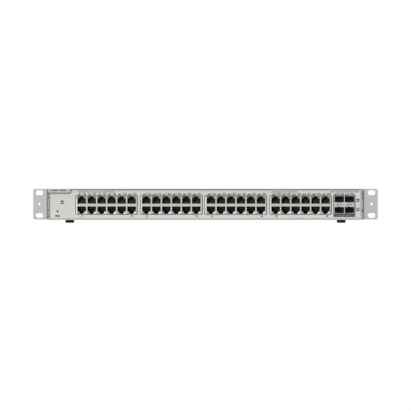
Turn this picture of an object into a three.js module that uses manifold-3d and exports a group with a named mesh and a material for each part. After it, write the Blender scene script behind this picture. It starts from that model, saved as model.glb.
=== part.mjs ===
// A 1U rackmount network switch: 48 RJ45 ports in four gangs, a 2 x 2 SFP+ cage, a mains power supply
// and two side fans in a steel case with rack ears. Millimetres, +Z up, the ports face -Y.
// The origin is the centre of the footprint, on the surface that the feet stand on.
import * as THREE from 'three';
import { mergeVertices } from 'three/addons/utils/BufferGeometryUtils.js';
import Module from 'manifold-3d';

const wasm = await Module();
wasm.setup();

// Case
const CASE_WIDTH = 440;
const CASE_HEIGHT = 43.6;
const CASE_DEPTH = 207.5;
const FOOT_HEIGHT = 4;
const REAR_STANDOUT = 3; // the ground screw's head, behind the back wall
const SHEET = 1.2;
const GAP = 0.3; // between neighbouring pieces
const CLEARANCE = 0.3; // of a screw's shank in its hole

const SIDE = CASE_WIDTH / 2;
const FRONT = -(CASE_DEPTH + REAR_STANDOUT) / 2;
const BACK = FRONT + CASE_DEPTH;
const BOTTOM = FOOT_HEIGHT;
const TOP = BOTTOM + CASE_HEIGHT;
const MIDDLE = (BOTTOM + TOP) / 2;
const FLOOR = BOTTOM + SHEET;

// Front bezel
const BEZEL_DEPTH = 12;
const BEZEL_SKIRT = 2;
const FACE_RECESS = 3;
const PANEL = 2;
const RIM_CREST = 0.5;
const RIM = { left: 2.5, right: 3.4, top: 2.5, bottom: 2.8 };
const TAB = { right: -189.1, bottom: 42.3, slope: 1.9 };
const LIP = 1.2; // lap of the base and the cover inside the bezel's skirt
const CASE_FRONT = FRONT + BEZEL_DEPTH + GAP;

// RJ45 gangs
const GANG_X = [-1.5, -0.5, 0.5, 1.5].map((step) => -2.6 + step * 90.55);
const GANG_Z = 24.8;
const GANG = { halfWidth: 42.6, halfHeight: 12.9, front: 4.5, back: 31.5, wall: 0.5, clearance: 0.5 };
const COLUMNS = [-2.5, -1.5, -0.5, 0.5, 1.5, 2.5].map((step) => step * 13.97);
const PORT = { halfWidth: 6, inner: 2.15, shoulder: 8.35, outer: 12.3, notch: 2.1 };
const POCKET = { outer: 11.5, depth: 15 }; // the housing's plug space behind each mouth
const ARROW = { width: 2.4, height: 1.9, spread: 3.35, z: 40.1 };

// SFP+ cage
const CAGE_X = 194.5;
const CAGE_Z = 25.4;
const CAGE = { halfWidth: 15, halfHeight: 13.15, front: 2.8, back: 49.8, wall: 0.8 };
const SLOT = { column: 7.125, halfWidth: 6.4, inner: 3.45, outer: 11.75, depth: 34.4 };
const CHANNEL = 2.6; // half height of the light guide's channel between the two rows
const CAGE_ARROWS = [-9.3, -4.95, 4.95, 9.3];

// Board and what is on it
const BOARD_BOTTOM = 9.9;
const BOARD = 1.6;
const BOARD_TOP = BOARD_BOTTOM + BOARD;
const ON_BOARD = BOARD_TOP + GAP;
const CHIP = { x: -20, y: -8, half: 17, height: 2.6 };
const CHIP_TOP = ON_BOARD + CHIP.height;

// Rack ears
const EAR_SPAN = 482.6;
const EAR_HEIGHT = 42.9;
const EAR_SHEET = 2;
const EAR_FRONT = FRONT + 4;
const EAR_FLANGE = 70;
const EAR_Z = TOP - EAR_HEIGHT / 2;
const EAR_SLOT = { x: 232.6, spacing: 31.75, length: 10.4, width: 6.9, middleHole: 1.75 };
const EAR_SCREW = { y: [FRONT + 28, FRONT + 56], z: [-9, 9], shank: 1.7, head: 3.6 }; // z from EAR_Z
const BEND_RADIUS = 2.6;

// Left side fans
const FAN_Y = [-8, 38];
const FAN = { half: 20, depth: 20, bore: 19, strut: 2.4, hub: 11.5, blade: 17.9, blades: 7, cup: 1 };
const FAN_X = -SIDE + SHEET + GAP;

// Feet, power supply and rear panel
const FEET = [-190, 190].flatMap((x) => [FRONT + 22, BACK - 22].map((y) => [x, y]));
const SUPPLY = { left: 85, right: 205, front: 18, back: 92, inset: 5 };
const INLET = { x: 165, halfWidth: 13.5, halfHeight: 9.7, depth: 20, standout: 2.3, pocket: 17 };
const GROUND = { x: 120, z: 16, shank: 1.9, head: 4 };
const COVER_SCREW_X = [-180, -10, 208];
const COVER_TAB_Z = 41.5;
const RESET = {
  x: -207.3, z: 16.1, hole: 1.1, plunger: 1.4, front: 6.4, length: 5.6, switchFront: 9.2, switchBack: 16.2,
};
const STATUS = { x: -200.7, z: 30.1, width: 3, height: 1.6 };

const COLOURS = {
  bezel: finish(0xd6d6d0, 0.6, 0),
  paint: finish(0xb9bab6, 0.55, 0.1),
  ear: finish(0xbebebe, 0.5, 0.1),
  nickel: finish(0xc8c8cc, 0.3, 0.9),
  black: finish(0x1b1b1b, 0.5, 0),
  rubber: finish(0x161616, 0.9, 0),
  clear: finish(0xdfe4e6, 0.1, 0),
  board: finish(0x1d5a37, 0.5, 0),
  aluminium: finish(0xb4b6b8, 0.4, 0.9),
  steel: finish(0xb0b0b2, 0.35, 0.9),
  winding: finish(0xc9a23a, 0.5, 0),
  film: finish(0x24262a, 0.4, 0),
  lead: finish(0x2c2c30, 0.6, 0),
};

const model = new THREE.Group();

function finish(color, roughness, metalness) {
  return new THREE.MeshStandardMaterial({ color, roughness, metalness });
}

function addPiece(name, body, material, position = [0, 0, 0], rotation = [0, 0, 0]) {
  const mesh = new THREE.Mesh(toGeometry(body), material);
  mesh.name = name;
  mesh.position.set(...position);
  mesh.rotation.set(...rotation);
  model.add(mesh);
}

// A closed geometry as a solid that can be joined and cut.
function toSolid(geometry) {
  const bare = geometry.clone();
  bare.deleteAttribute('normal');
  bare.deleteAttribute('uv');
  const merged = mergeVertices(bare, 1e-4);
  const mesh = new wasm.Mesh({
    numProp: 3,
    vertProperties: new Float32Array(merged.attributes.position.array),
    triVerts: new Uint32Array(merged.index.array),
  });
  return new wasm.Manifold(mesh);
}

function toGeometry(body) {
  const mesh = body.getMesh();
  const geometry = new THREE.BufferGeometry();
  geometry.setAttribute('position', new THREE.BufferAttribute(mesh.vertProperties, 3));
  geometry.setIndex(new THREE.BufferAttribute(mesh.triVerts, 1));
  geometry.computeVertexNormals();
  return geometry;
}

function join(...bodies) {
  return bodies.flat().reduce((whole, body) => whole.add(body));
}

function cut(body, ...tools) {
  return tools.flat().reduce((rest, tool) => rest.subtract(tool), body);
}

function block([x0, y0, z0], [x1, y1, z1]) {
  const box = new THREE.BoxGeometry(x1 - x0, y1 - y0, z1 - z0);
  box.translate((x0 + x1) / 2, (y0 + y1) / 2, (z0 + z1) / 2);
  return toSolid(box);
}

// A block whose front face (lowest Y) and back face are different rectangles, each [x0, z0, x1, z1].
function taperedBlock(frontFace, backFace, y0, y1) {
  const box = new THREE.BoxGeometry(1, 1, 1);
  const corners = box.attributes.position;
  for (let i = 0; i < corners.count; i += 1) {
    const face = corners.getY(i) < 0 ? frontFace : backFace;
    const x = corners.getX(i) < 0 ? face[0] : face[2];
    const y = corners.getY(i) < 0 ? y0 : y1;
    const z = corners.getZ(i) < 0 ? face[1] : face[3];
    corners.setXYZ(i, x, y, z);
  }
  return toSolid(box);
}

const X_AXIS = new THREE.Vector3(1, 0, 0);
const Y_AXIS = new THREE.Vector3(0, 1, 0);
const Z_AXIS = new THREE.Vector3(0, 0, 1);
const TURN = {
  x: new THREE.Matrix4().makeBasis(Y_AXIS, Z_AXIS, X_AXIS),
  y: new THREE.Matrix4().makeBasis(Z_AXIS, X_AXIS, Y_AXIS),
  z: new THREE.Matrix4(),
};

// An outline drawn in the plane across an axis, (y, z), (z, x) or (x, y), swept along that axis.
// Each arc in the outline becomes arcSides straight sides.
function prism(axis, outline, start, end, arcSides = 8) {
  const shape = outline instanceof THREE.Shape ? outline : polygon(outline);
  const options = { depth: end - start, bevelEnabled: false, curveSegments: arcSides / 2 };
  const geometry = new THREE.ExtrudeGeometry(shape, options);
  geometry.translate(0, 0, start);
  geometry.applyMatrix4(TURN[axis]);
  return toSolid(geometry);
}

function polygon(points) {
  return new THREE.Shape(points.map(([u, v]) => new THREE.Vector2(u, v)));
}

// An outline of (x, z) points, seen from the front, swept along Y.
function frontPrism(points, start, end) {
  return prism('y', points.map(([x, z]) => [z, x]), start, end);
}

function rod(axis, [u, v], radius, start, end, sides = 16) {
  const shape = new THREE.Shape();
  shape.absarc(u, v, radius, 0, 2 * Math.PI);
  return prism(axis, shape, start, end, sides);
}

// A slot with round ends in the plane (z, x), long along X.
function obround(x, z, length, width, start, end) {
  const radius = width / 2;
  const reach = length / 2 - radius;
  const shape = new THREE.Shape();
  shape.absarc(z, x + reach, radius, 0, Math.PI);
  shape.absarc(z, x - reach, radius, Math.PI, 2 * Math.PI);
  return prism('y', shape, start, end, 8);
}

// A turned profile of (radius, height) points about the given axis.
function turned(profile, axis, sides = 20) {
  const points = profile.map(([radius, height]) => new THREE.Vector2(radius, height));
  const geometry = new THREE.LatheGeometry([...points, points[0]], sides);
  const turn = { x: ['rotateZ', -Math.PI / 2], y: ['rotateZ', 0], z: ['rotateX', Math.PI / 2] }[axis];
  geometry[turn[0]](turn[1]);
  return toSolid(geometry);
}

// A round lead through the given points.
function tube(points, radius, steps) {
  const path = new THREE.CatmullRomCurve3(points.map((point) => new THREE.Vector3(...point)));
  const section = new THREE.Shape();
  section.absarc(0, 0, radius, 0, 2 * Math.PI);
  const options = { extrudePath: path, steps, bevelEnabled: false, curveSegments: 4 };
  return toSolid(new THREE.ExtrudeGeometry(section, options));
}

// A light window's triangle, pointing up or down.
function arrowOutline(x, z, direction, scale = 1) {
  const half = (ARROW.width / 2) * scale;
  const rise = (ARROW.height / 2) * scale * direction;
  return [[x - half, z - rise], [x + half, z - rise], [x, z + rise]];
}

function arrowPlaces() {
  return COLUMNS.flatMap((x) => [[x - ARROW.spread, 1], [x + ARROW.spread, -1]]);
}

// The hexagonal mouth of one port: upright sides, then shoulders sloping to the latch notch.
function portOutline(x, row) {
  const { halfWidth, inner, shoulder, outer, notch } = PORT;
  return [
    [x - halfWidth, row * inner],
    [x + halfWidth, row * inner],
    [x + halfWidth, row * shoulder],
    [x + notch, row * outer],
    [x - notch, row * outer],
    [x - halfWidth, row * shoulder],
  ];
}

function eachPort(build) {
  return COLUMNS.flatMap((x) => [-1, 1].map((row) => build(x, row)));
}

function frontBezel() {
  const skirtBack = FRONT + BEZEL_DEPTH;
  const faceY = FRONT + FACE_RECESS;
  const panelBack = faceY + PANEL;
  const shell = block([-SIDE, FRONT, BOTTOM], [SIDE, skirtBack, TOP]);
  const inside = block(
    [-SIDE + BEZEL_SKIRT, panelBack, BOTTOM + BEZEL_SKIRT],
    [SIDE - BEZEL_SKIRT, skirtBack + 1, TOP - BEZEL_SKIRT],
  );
  const mouth = [-SIDE + RIM_CREST, BOTTOM + RIM_CREST, SIDE - RIM_CREST, TOP - RIM_CREST];
  const face = [-SIDE + RIM.left, BOTTOM + RIM.bottom, SIDE - RIM.right, TOP - RIM.top];
  const recess = taperedBlock(mouth, face, FRONT, faceY);
  const tab = taperedBlock(
    [-SIDE + RIM_CREST, TAB.bottom, TAB.right, TOP - RIM_CREST],
    [-SIDE + RIM_CREST, TAB.bottom - TAB.slope, TAB.right + TAB.slope, TOP - RIM_CREST],
    FRONT,
    faceY + 0.5,
  );
  const framed = join(cut(shell, inside, recess), tab);
  return cut(framed, bezelWindows(faceY - 1, panelBack + 1));
}

function bezelWindows(start, end) {
  const gangHalfWidth = GANG.halfWidth + GANG.clearance;
  const gangHalfHeight = GANG.halfHeight + GANG.clearance;
  const windows = GANG_X.map((x) =>
    block([x - gangHalfWidth, start, GANG_Z - gangHalfHeight], [x + gangHalfWidth, end, GANG_Z + gangHalfHeight]),
  );
  const cage = [CAGE.halfWidth + GAP, CAGE.halfHeight + GAP];
  windows.push(block([CAGE_X - cage[0], start, CAGE_Z - cage[1]], [CAGE_X + cage[0], end, CAGE_Z + cage[1]]));
  const status = [STATUS.width / 2, STATUS.height / 2];
  windows.push(
    block([STATUS.x - status[0], start, STATUS.z - status[1]], [STATUS.x + status[0], end, STATUS.z + status[1]]),
  );
  windows.push(rod('y', [RESET.z, RESET.x], RESET.hole, start, end, 12));
  for (const gangX of GANG_X) {
    for (const [x, direction] of arrowPlaces()) {
      windows.push(frontPrism(arrowOutline(gangX + x, ARROW.z, direction), start, end));
    }
  }
  return windows;
}

function chassisBase() {
  const wallTop = TOP - SHEET - GAP;
  const outside = block([-SIDE, CASE_FRONT, BOTTOM], [SIDE, BACK, wallTop]);
  const inside = block([-SIDE + SHEET, CASE_FRONT - 1, FLOOR], [SIDE - SHEET, BACK - SHEET, wallTop + 1]);
  const body = join(cut(outside, inside), baseLips(), spacers());
  return cut(body, screwHoles(), footHoles(), inletHole(), fanGrilles(), sideVents());
}

// Strips that lap inside the bezel's skirt, on the floor and both sides.
function baseLips() {
  const lipFront = FRONT + FACE_RECESS + PANEL + GAP;
  const lipBack = CASE_FRONT + 10;
  const inner = SIDE - BEZEL_SKIRT - GAP;
  const low = BOTTOM + BEZEL_SKIRT + GAP;
  const floorLip = block([-150, lipFront, low], [150, lipBack, low + LIP]);
  const floorJoin = block([-150, CASE_FRONT + 1, FLOOR - 0.1], [150, lipBack, low + 0.1]);
  const sides = [-1, 1].flatMap((sign) => {
    const lip = mirroredBlock(sign, [inner - LIP, lipFront, 12], [inner, lipBack, 38]);
    const joint = mirroredBlock(sign, [inner - 0.1, CASE_FRONT + 1, 12], [SIDE - SHEET + 0.1, lipBack, 38]);
    return [lip, joint];
  });
  return join(floorLip, floorJoin, sides);
}

// A block given for the right side (positive X), placed on the side of the sign.
function mirroredBlock(sign, [x0, y0, z0], [x1, y1, z1]) {
  const xs = [sign * x0, sign * x1].sort((a, b) => a - b);
  return block([xs[0], y0, z0], [xs[1], y1, z1]);
}

// Pressed studs that carry the main board and the power supply.
function spacers() {
  const mainBoard = [[-205, -88], [-88, -45], [88, -45], [205, -88], [-120, 40], [60, 45]];
  const { left, right, front, back, inset } = SUPPLY;
  const supply = [left + inset, right - inset].flatMap((x) => [front + inset, back - inset].map((y) => [x, y]));
  return join([...mainBoard, ...supply].map((place) => rod('z', place, 3, FLOOR - 0.1, BOARD_BOTTOM - GAP, 8)));
}

function screwHoles() {
  const ears = EAR_SCREW.y.flatMap((y) =>
    EAR_SCREW.z.flatMap((z) => [
      rod('x', [y, EAR_Z + z], EAR_SCREW.shank + CLEARANCE, -SIDE - 1, -SIDE + 8, 12),
      rod('x', [y, EAR_Z + z], EAR_SCREW.shank + CLEARANCE, SIDE - 8, SIDE + 1, 12),
    ]),
  );
  const cover = COVER_SCREW_X.map((x) => rod('y', [COVER_TAB_Z, x], 1.5, BACK - 4, BACK + 1, 12));
  const ground = rod('y', [GROUND.z, GROUND.x], GROUND.shank + CLEARANCE, BACK - 4, BACK + 1, 12);
  return [...ears, ...cover, ground];
}

function footHoles() {
  return FEET.map((place) => rod('z', place, 2.4, BOTTOM - 1, FLOOR + 1, 12));
}

function inletHole() {
  const [halfWidth, halfHeight] = [INLET.halfWidth + GAP, INLET.halfHeight + GAP];
  const { x } = INLET;
  return block([x - halfWidth, BACK - 4, MIDDLE - halfHeight], [x + halfWidth, BACK + 1, MIDDLE + halfHeight]);
}

// Rows of slots inside a circle in front of each fan, split by an upright rib.
function fanGrilles() {
  const [slot, pitch, rib, radius] = [3.6, 6.2, 1.5, 18];
  const slots = [];
  for (const y of FAN_Y) {
    for (let row = -2; row <= 2; row += 1) {
      const z = MIDDLE + row * pitch;
      const reach = Math.sqrt(radius ** 2 - (row * pitch) ** 2);
      slots.push(block([-SIDE - 1, y + rib, z - slot / 2], [-SIDE + 3, y + reach, z + slot / 2]));
      slots.push(block([-SIDE - 1, y - reach, z - slot / 2], [-SIDE + 3, y - rib, z + slot / 2]));
    }
  }
  return slots;
}

function sideVents() {
  const slots = [];
  const [count, first, pitch, width] = [12, -18, 8.5, 3.6];
  for (let i = 0; i < count; i += 1) {
    const y = first + i * pitch;
    slots.push(block([SIDE - 3, y, 13], [SIDE + 1, y + width, 24]));
    slots.push(block([SIDE - 3, y, 27.6], [SIDE + 1, y + width, 38.6]));
  }
  return slots;
}

function topCover() {
  const plate = block([-SIDE, CASE_FRONT, TOP - SHEET], [SIDE, BACK, TOP]);
  const lipTop = TOP - BEZEL_SKIRT - GAP;
  const lipFront = FRONT + FACE_RECESS + PANEL + GAP;
  const lip = block([-170, lipFront, lipTop - LIP], [170, CASE_FRONT + 14, lipTop]);
  const lipJoin = block([-170, CASE_FRONT + 1, lipTop - 0.1], [170, CASE_FRONT + 14, TOP - SHEET + 0.1]);
  const inner = SIDE - SHEET - GAP;
  const sideTabs = [-1, 1].flatMap((sign) =>
    [-72, 70].map((y) => mirroredBlock(sign, [inner - SHEET, y, COVER_TAB_Z - 3], [inner, y + 22, TOP - SHEET + 0.1])),
  );
  const tabBack = BACK - SHEET - GAP;
  const backTabs = COVER_SCREW_X.map((x) =>
    block([x - 7, tabBack - SHEET, COVER_TAB_Z - 3.5], [x + 7, tabBack, TOP - SHEET + 0.1]),
  );
  const holes = COVER_SCREW_X.map((x) => rod('y', [COVER_TAB_Z, x], 1.5, BACK - 6, BACK, 12));
  return cut(join(plate, lip, lipJoin, sideTabs, backTabs), holes);
}

// The right ear, level with zero: a face plate and a flange along the case, bent from one sheet.
// It is the same above and below its middle, so half a turn about Y makes it the left one.
function rackEar() {
  const inner = SIDE + GAP;
  const outer = EAR_SPAN / 2;
  const faceBack = EAR_FRONT + EAR_SHEET;
  const bend = new THREE.Shape();
  bend.moveTo(inner, EAR_FRONT + BEND_RADIUS);
  bend.absarc(inner + BEND_RADIUS, EAR_FRONT + BEND_RADIUS, BEND_RADIUS, Math.PI, 1.5 * Math.PI);
  bend.lineTo(outer, EAR_FRONT);
  bend.lineTo(outer, faceBack);
  bend.lineTo(inner + EAR_SHEET, faceBack);
  bend.lineTo(inner + EAR_SHEET, EAR_FRONT + EAR_FLANGE);
  bend.lineTo(inner, EAR_FRONT + EAR_FLANGE);
  const sheet = prism('z', bend, -EAR_HEIGHT / 2, EAR_HEIGHT / 2, 6);
  const { x, spacing, length, width, middleHole } = EAR_SLOT;
  const slots = [-spacing / 2, spacing / 2].map((z) => obround(x, z, length, width, EAR_FRONT - 1, faceBack + 1));
  const hole = rod('y', [0, x], middleHole, EAR_FRONT - 1, faceBack + 1, 12);
  const screws = EAR_SCREW.y.flatMap((y) =>
    EAR_SCREW.z.map((z) => rod('x', [y, z], EAR_SCREW.shank + CLEARANCE, SIDE - 1, SIDE + 4, 12)),
  );
  return cut(sheet, slots, hole, screws);
}

// A pan head screw, its head at positive heights and its shank below zero.
function panScrew(head, headHeight, shank, length, axis) {
  const profile = [[0, -length], [shank, -length], [shank, 0], [head, 0], [head * 0.8, headHeight], [0, headHeight]];
  return turned(profile, axis, 10);
}

function rubberFoot() {
  const seat = FOOT_HEIGHT - GAP;
  const profile = [[0, 0], [5.75, 0], [6.45, seat], [2, seat], [2, FLOOR + GAP], [2.8, FLOOR + GAP],
    [1.8, FLOOR + 1.4], [0, FLOOR + 1.4]];
  return turned(profile, 'z', 16);
}

function rj45Shield() {
  const { halfWidth, halfHeight, front, back, wall } = GANG;
  const box = block([-halfWidth, front, -halfHeight], [halfWidth, back, halfHeight]);
  const inside = block(
    [-halfWidth + wall, front + wall, -halfHeight + wall],
    [halfWidth - wall, back + 1, halfHeight - wall],
  );
  return cut(box, inside, eachPort((x, row) => frontPrism(portOutline(x, row), front - 1, front + 2)));
}

function rj45Housing() {
  const inset = GANG.wall + GAP;
  const [halfWidth, halfHeight] = [GANG.halfWidth - inset, GANG.halfHeight - inset];
  const front = GANG.front + inset;
  const box = block([-halfWidth, front, -halfHeight], [halfWidth, GANG.back - GAP, halfHeight]);
  const pocket = (x, row) => {
    const [low, high] = [row * PORT.inner, row * POCKET.outer].sort((a, b) => a - b);
    return block([x - PORT.halfWidth, front - 1, low], [x + PORT.halfWidth, front + POCKET.depth, high]);
  };
  return cut(box, eachPort(pocket));
}

// A comb of clear pipes over one gang, with an arrow tip behind each window and a leg down to the board.
function portLightGuide() {
  const [plateFront, legBack, thickness] = [FACE_RECESS + PANEL + GAP, GANG.back + 2.7, 1.6];
  const z = ARROW.z - GANG_Z;
  const legBottom = ON_BOARD - GANG_Z;
  const outline = [
    [plateFront, z - thickness / 2],
    [legBack - thickness, z - thickness / 2],
    [legBack - thickness, legBottom],
    [legBack, legBottom],
    [legBack, z + thickness / 2],
    [plateFront, z + thickness / 2],
  ];
  const plate = prism('x', outline, -41, 41);
  const tips = arrowPlaces().map(([x, direction]) =>
    frontPrism(arrowOutline(x, z, direction, 0.7), FACE_RECESS + 0.1, plateFront + 0.5),
  );
  return join(plate, tips);
}

function sfpCage() {
  const { halfWidth, halfHeight, front, back, wall } = CAGE;
  const slotBack = front + SLOT.depth;
  const box = block([-halfWidth, front, -halfHeight], [halfWidth, back, halfHeight]);
  const slots = [-1, 1].flatMap((side) =>
    [-1, 1].map((row) => {
      const x = side * SLOT.column;
      const zs = [row * SLOT.inner, row * SLOT.outer].sort((a, b) => a - b);
      return block([x - SLOT.halfWidth, front - 1, zs[0]], [x + SLOT.halfWidth, slotBack + 0.1, zs[1]]);
    }),
  );
  const channel = block([-13.6, front + wall, -CHANNEL], [13.6, slotBack + 0.1, CHANNEL]);
  const rear = block([-13.8, slotBack, -halfHeight - 1], [13.8, back - wall, halfHeight - wall]);
  const windows = CAGE_ARROWS.map((x, i) => frontPrism(arrowOutline(x, 0, i % 2 ? -1 : 1), front - 1, front + 2));
  return cut(box, slots, channel, rear, windows);
}

// The connector of one cage column, with a card mouth for the upper and the lower slot.
function sfpConnector() {
  const bodyFront = CAGE.front + SLOT.depth + 0.5;
  const bottom = ON_BOARD - CAGE_Z;
  const body = block([-5.2, bodyFront, bottom], [5.2, CAGE.back - 2, 10.9]);
  const mouths = [-1, 1].map((row) => {
    const zs = [row * 7.1, row * 10.9].sort((a, b) => a - b);
    return block([-4.9, bodyFront - 6, zs[0]], [4.9, bodyFront + 0.1, zs[1]]);
  });
  const cardSlots = [-1, 1].map((row) =>
    block([-4.3, bodyFront - 7, row * 9 - 0.7], [4.3, bodyFront - 1, row * 9 + 0.7]),
  );
  return cut(join(body, mouths), cardSlots);
}

function sfpLightGuide() {
  const plateFront = CAGE.front + CAGE.wall + GAP;
  const plate = block([-13, plateFront, -0.9], [13, CAGE.front + SLOT.depth - 1, 0.9]);
  const tips = CAGE_ARROWS.map((x, i) =>
    frontPrism(arrowOutline(x, 0, i % 2 ? -1 : 1, 0.7), CAGE.front + 0.1, plateFront + 0.5),
  );
  return join(plate, tips);
}

function statusLightGuide() {
  const [width, height, legBack] = [STATUS.width / 2 - 0.25, STATUS.height / 2 - 0.25, FRONT + 20];
  const tip = block([-width, FRONT + FACE_RECESS + 0.1, -height], [width, legBack, height]);
  const leg = block([-width, legBack - 2, ON_BOARD - STATUS.z], [width, legBack, height]);
  return join(tip, leg);
}

function resetButton() {
  const { plunger, front, length } = RESET;
  const cap = plunger + 0.5;
  const capBack = front + 1.2;
  const back = front + length;
  return turned([[0, front], [cap, front], [cap, capBack], [plunger, capBack], [plunger, back], [0, back]], 'y', 16);
}

function resetSwitch() {
  const { plunger, switchFront, switchBack } = RESET;
  const body = block([-3.2, switchFront, ON_BOARD - RESET.z], [3.2, switchBack, 4]);
  return cut(body, rod('y', [0, 0], plunger + GAP, switchFront - 1, switchFront + 4, 16));
}

function mainBoard() {
  const outline = [[-213, -98.5], [213, -98.5], [213, -5], [75, -5], [75, 60], [-190, 60], [-190, -34], [-213, -34]];
  return prism('z', outline, BOARD_BOTTOM, BOARD_TOP);
}

// A finned block, its fins along Y, standing on zero.
function finnedBlock(width, depth, base, height, fins, finWidth) {
  const outline = [[0, -width / 2], [0, width / 2]];
  const pitch = (width - finWidth) / (fins - 1);
  for (let i = fins - 1; i >= 0; i -= 1) {
    const x = -width / 2 + i * pitch;
    outline.push([height, x + finWidth], [height, x]);
    if (i > 0) {
      outline.push([base, x], [base, x - pitch + finWidth]);
    }
  }
  return prism('y', outline, -depth / 2, depth / 2);
}

function supplyTransformer() {
  const core = join(
    block([-15, -9, 0], [15, 9, 5]),
    block([-15, -9, 0], [-10, 9, 25]),
    block([10, -9, 0], [15, 9, 25]),
    block([-15, -9, 20], [15, 9, 25]),
  );
  const winding = block([-9.9, -13, 4.9], [9.9, 13, 20.1]);
  return join(core, winding);
}

function acInlet() {
  const { halfWidth, halfHeight, depth, standout, pocket } = INLET;
  const body = block([-halfWidth, -depth, -halfHeight], [halfWidth, standout, halfHeight]);
  const flange = frontPrism(
    [[-25, -6], [-18, -11.2], [18, -11.2], [25, -6], [25, 6], [18, 11.2], [-18, 11.2], [-25, 6]], GAP, standout,
  );
  const mouth = [[-12.1, -8.2], [12.1, -8.2], [12.1, 3.6], [7.5, 8.2], [-7.5, 8.2], [-12.1, 3.6]];
  const screwHoles = [-20, 20].map((x) => rod('y', [0, x], 1.8, -1, standout + 1, 12));
  const pinHoles = pinPlaces().map(([x, z]) => block([x - 1.3, -depth - 1, z - 2.3], [x + 1.3, 0, z + 2.3]));
  return cut(join(body, flange), frontPrism(mouth, standout - pocket, standout + 1), screwHoles, pinHoles);
}

function pinPlaces() {
  return [[7, -2], [-7, -2], [0, 2]];
}

function inletPin() {
  return taperedBlock([-1, -2, 1, 2], [-0.7, -1.7, 0.7, 1.7], -24, -1.2);
}

// The frame's struts and motor seat are on its outer side, at X zero; the air leaves there.
function fanFrame() {
  const { half, depth, bore, hub, strut } = FAN;
  const shell = block([0, -half, -half], [depth, half, half]);
  const hole = rod('x', [0, 0], bore, -1, depth + 1, 24);
  const screwHoles = [-16, 16].flatMap((y) => [-16, 16].map((z) => rod('x', [y, z], 1.9, -1, depth + 1, 8)));
  const struts = [1, 3].map((eighth) => {
    const bar = new THREE.BoxGeometry(strut, 2 * bore + 1, 3);
    bar.translate(strut / 2, 0, 0);
    bar.rotateX((eighth * Math.PI) / 4);
    return toSolid(bar);
  });
  const seat = rod('x', [0, 0], hub - 0.5, 0, strut, 20);
  const stator = rod('x', [0, 0], 6, strut - 0.4, 13, 12);
  const bearing = rod('x', [0, 0], 1.9, strut, 14, 12);
  return cut(join(cut(shell, hole, screwHoles), struts, seat, stator), bearing);
}

function fanRotor() {
  const { hub, blade, blades, cup } = FAN;
  const [cupFront, cupBack] = [3, 16];
  const shell = turned([[hub - cup, cupFront], [hub, cupFront], [hub, cupBack], [0, cupBack],
    [0, 3.6], [1.5, 3.6], [1.5, cupBack - cup], [hub - cup, cupBack - cup]], 'x', 20);
  const fins = [];
  for (let i = 0; i < blades; i += 1) {
    const fin = new THREE.BoxGeometry(13, blade - hub + 0.6, 1.2);
    fin.rotateY(THREE.MathUtils.degToRad(38));
    fin.translate((cupFront + cupBack) / 2, (blade + hub - 0.6) / 2, 0);
    fin.rotateX((2 * Math.PI * i) / blades);
    fins.push(toSolid(fin));
  }
  return join(shell, fins);
}

function addCase() {
  addPiece('front_bezel', frontBezel(), COLOURS.bezel);
  addPiece('chassis_base', chassisBase(), COLOURS.paint);
  addPiece('top_cover', topCover(), COLOURS.paint);
  COVER_SCREW_X.forEach((x, i) => {
    const screw = panScrew(2.8, 1.8, 1.2, 6, 'y');
    addPiece(`cover_screw_${i + 1}`, screw, COLOURS.steel, [x, BACK + GAP, COVER_TAB_Z]);
  });
  FEET.forEach(([x, y], i) => addPiece(`rubber_foot_${i + 1}`, rubberFoot(), COLOURS.rubber, [x, y, 0]));
}

function addEars() {
  const places = EAR_SCREW.y.flatMap((y) => EAR_SCREW.z.map((z) => [y, EAR_Z + z]));
  for (const [side, sign, halfTurn] of [['left', -1, Math.PI], ['right', 1, 0]]) {
    addPiece(`rack_ear_${side}`, rackEar(), COLOURS.ear, [0, 0, EAR_Z], [0, halfTurn, 0]);
    places.forEach(([y, z], i) => {
      const screw = panScrew(EAR_SCREW.head, 1.7, EAR_SCREW.shank, 7, 'x');
      const x = sign * (SIDE + GAP + EAR_SHEET + GAP);
      addPiece(`ear_screw_${side}_${i + 1}`, screw, COLOURS.steel, [x, y, z], [0, 0, halfTurn]);
    });
  }
}

function addPorts() {
  GANG_X.forEach((x, i) => {
    const place = [x, FRONT, GANG_Z];
    addPiece(`rj45_shield_${i + 1}`, rj45Shield(), COLOURS.nickel, place);
    addPiece(`rj45_housing_${i + 1}`, rj45Housing(), COLOURS.black, place);
    addPiece(`port_light_guide_${i + 1}`, portLightGuide(), COLOURS.clear, place);
  });
  addPiece('sfp_cage', sfpCage(), COLOURS.nickel, [CAGE_X, FRONT, CAGE_Z]);
  addPiece('sfp_light_guide', sfpLightGuide(), COLOURS.clear, [CAGE_X, FRONT, CAGE_Z]);
  [-1, 1].forEach((side, i) => {
    const x = CAGE_X + side * SLOT.column;
    addPiece(`sfp_connector_${i + 1}`, sfpConnector(), COLOURS.black, [x, FRONT, CAGE_Z]);
  });
  addPiece('status_light_guide', statusLightGuide(), COLOURS.clear, [STATUS.x, 0, STATUS.z]);
  addPiece('reset_button', resetButton(), COLOURS.black, [RESET.x, FRONT, RESET.z]);
  addPiece('reset_switch', resetSwitch(), COLOURS.steel, [RESET.x, FRONT, RESET.z]);
}

function addBoard() {
  addPiece('main_board', mainBoard(), COLOURS.board);
  const { half, height } = CHIP;
  const chip = block([-half, -half, 0], [half, half, height]);
  addPiece('switch_chip', chip, COLOURS.black, [CHIP.x, CHIP.y, ON_BOARD]);
  const seat = CHIP_TOP + GAP;
  addPiece('main_heatsink', finnedBlock(60, 50, 4, 17, 10, 1.8), COLOURS.aluminium, [CHIP.x, CHIP.y, seat]);
  [GANG_X[0] + GANG_X[1], GANG_X[2] + GANG_X[3]].forEach((sum, i) => {
    const sink = finnedBlock(130, 22, 2.5, 9, 14, 1.8);
    addPiece(`port_chip_heatsink_${i + 1}`, sink, COLOURS.aluminium, [sum / 2, -56, seat]);
  });
}

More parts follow.
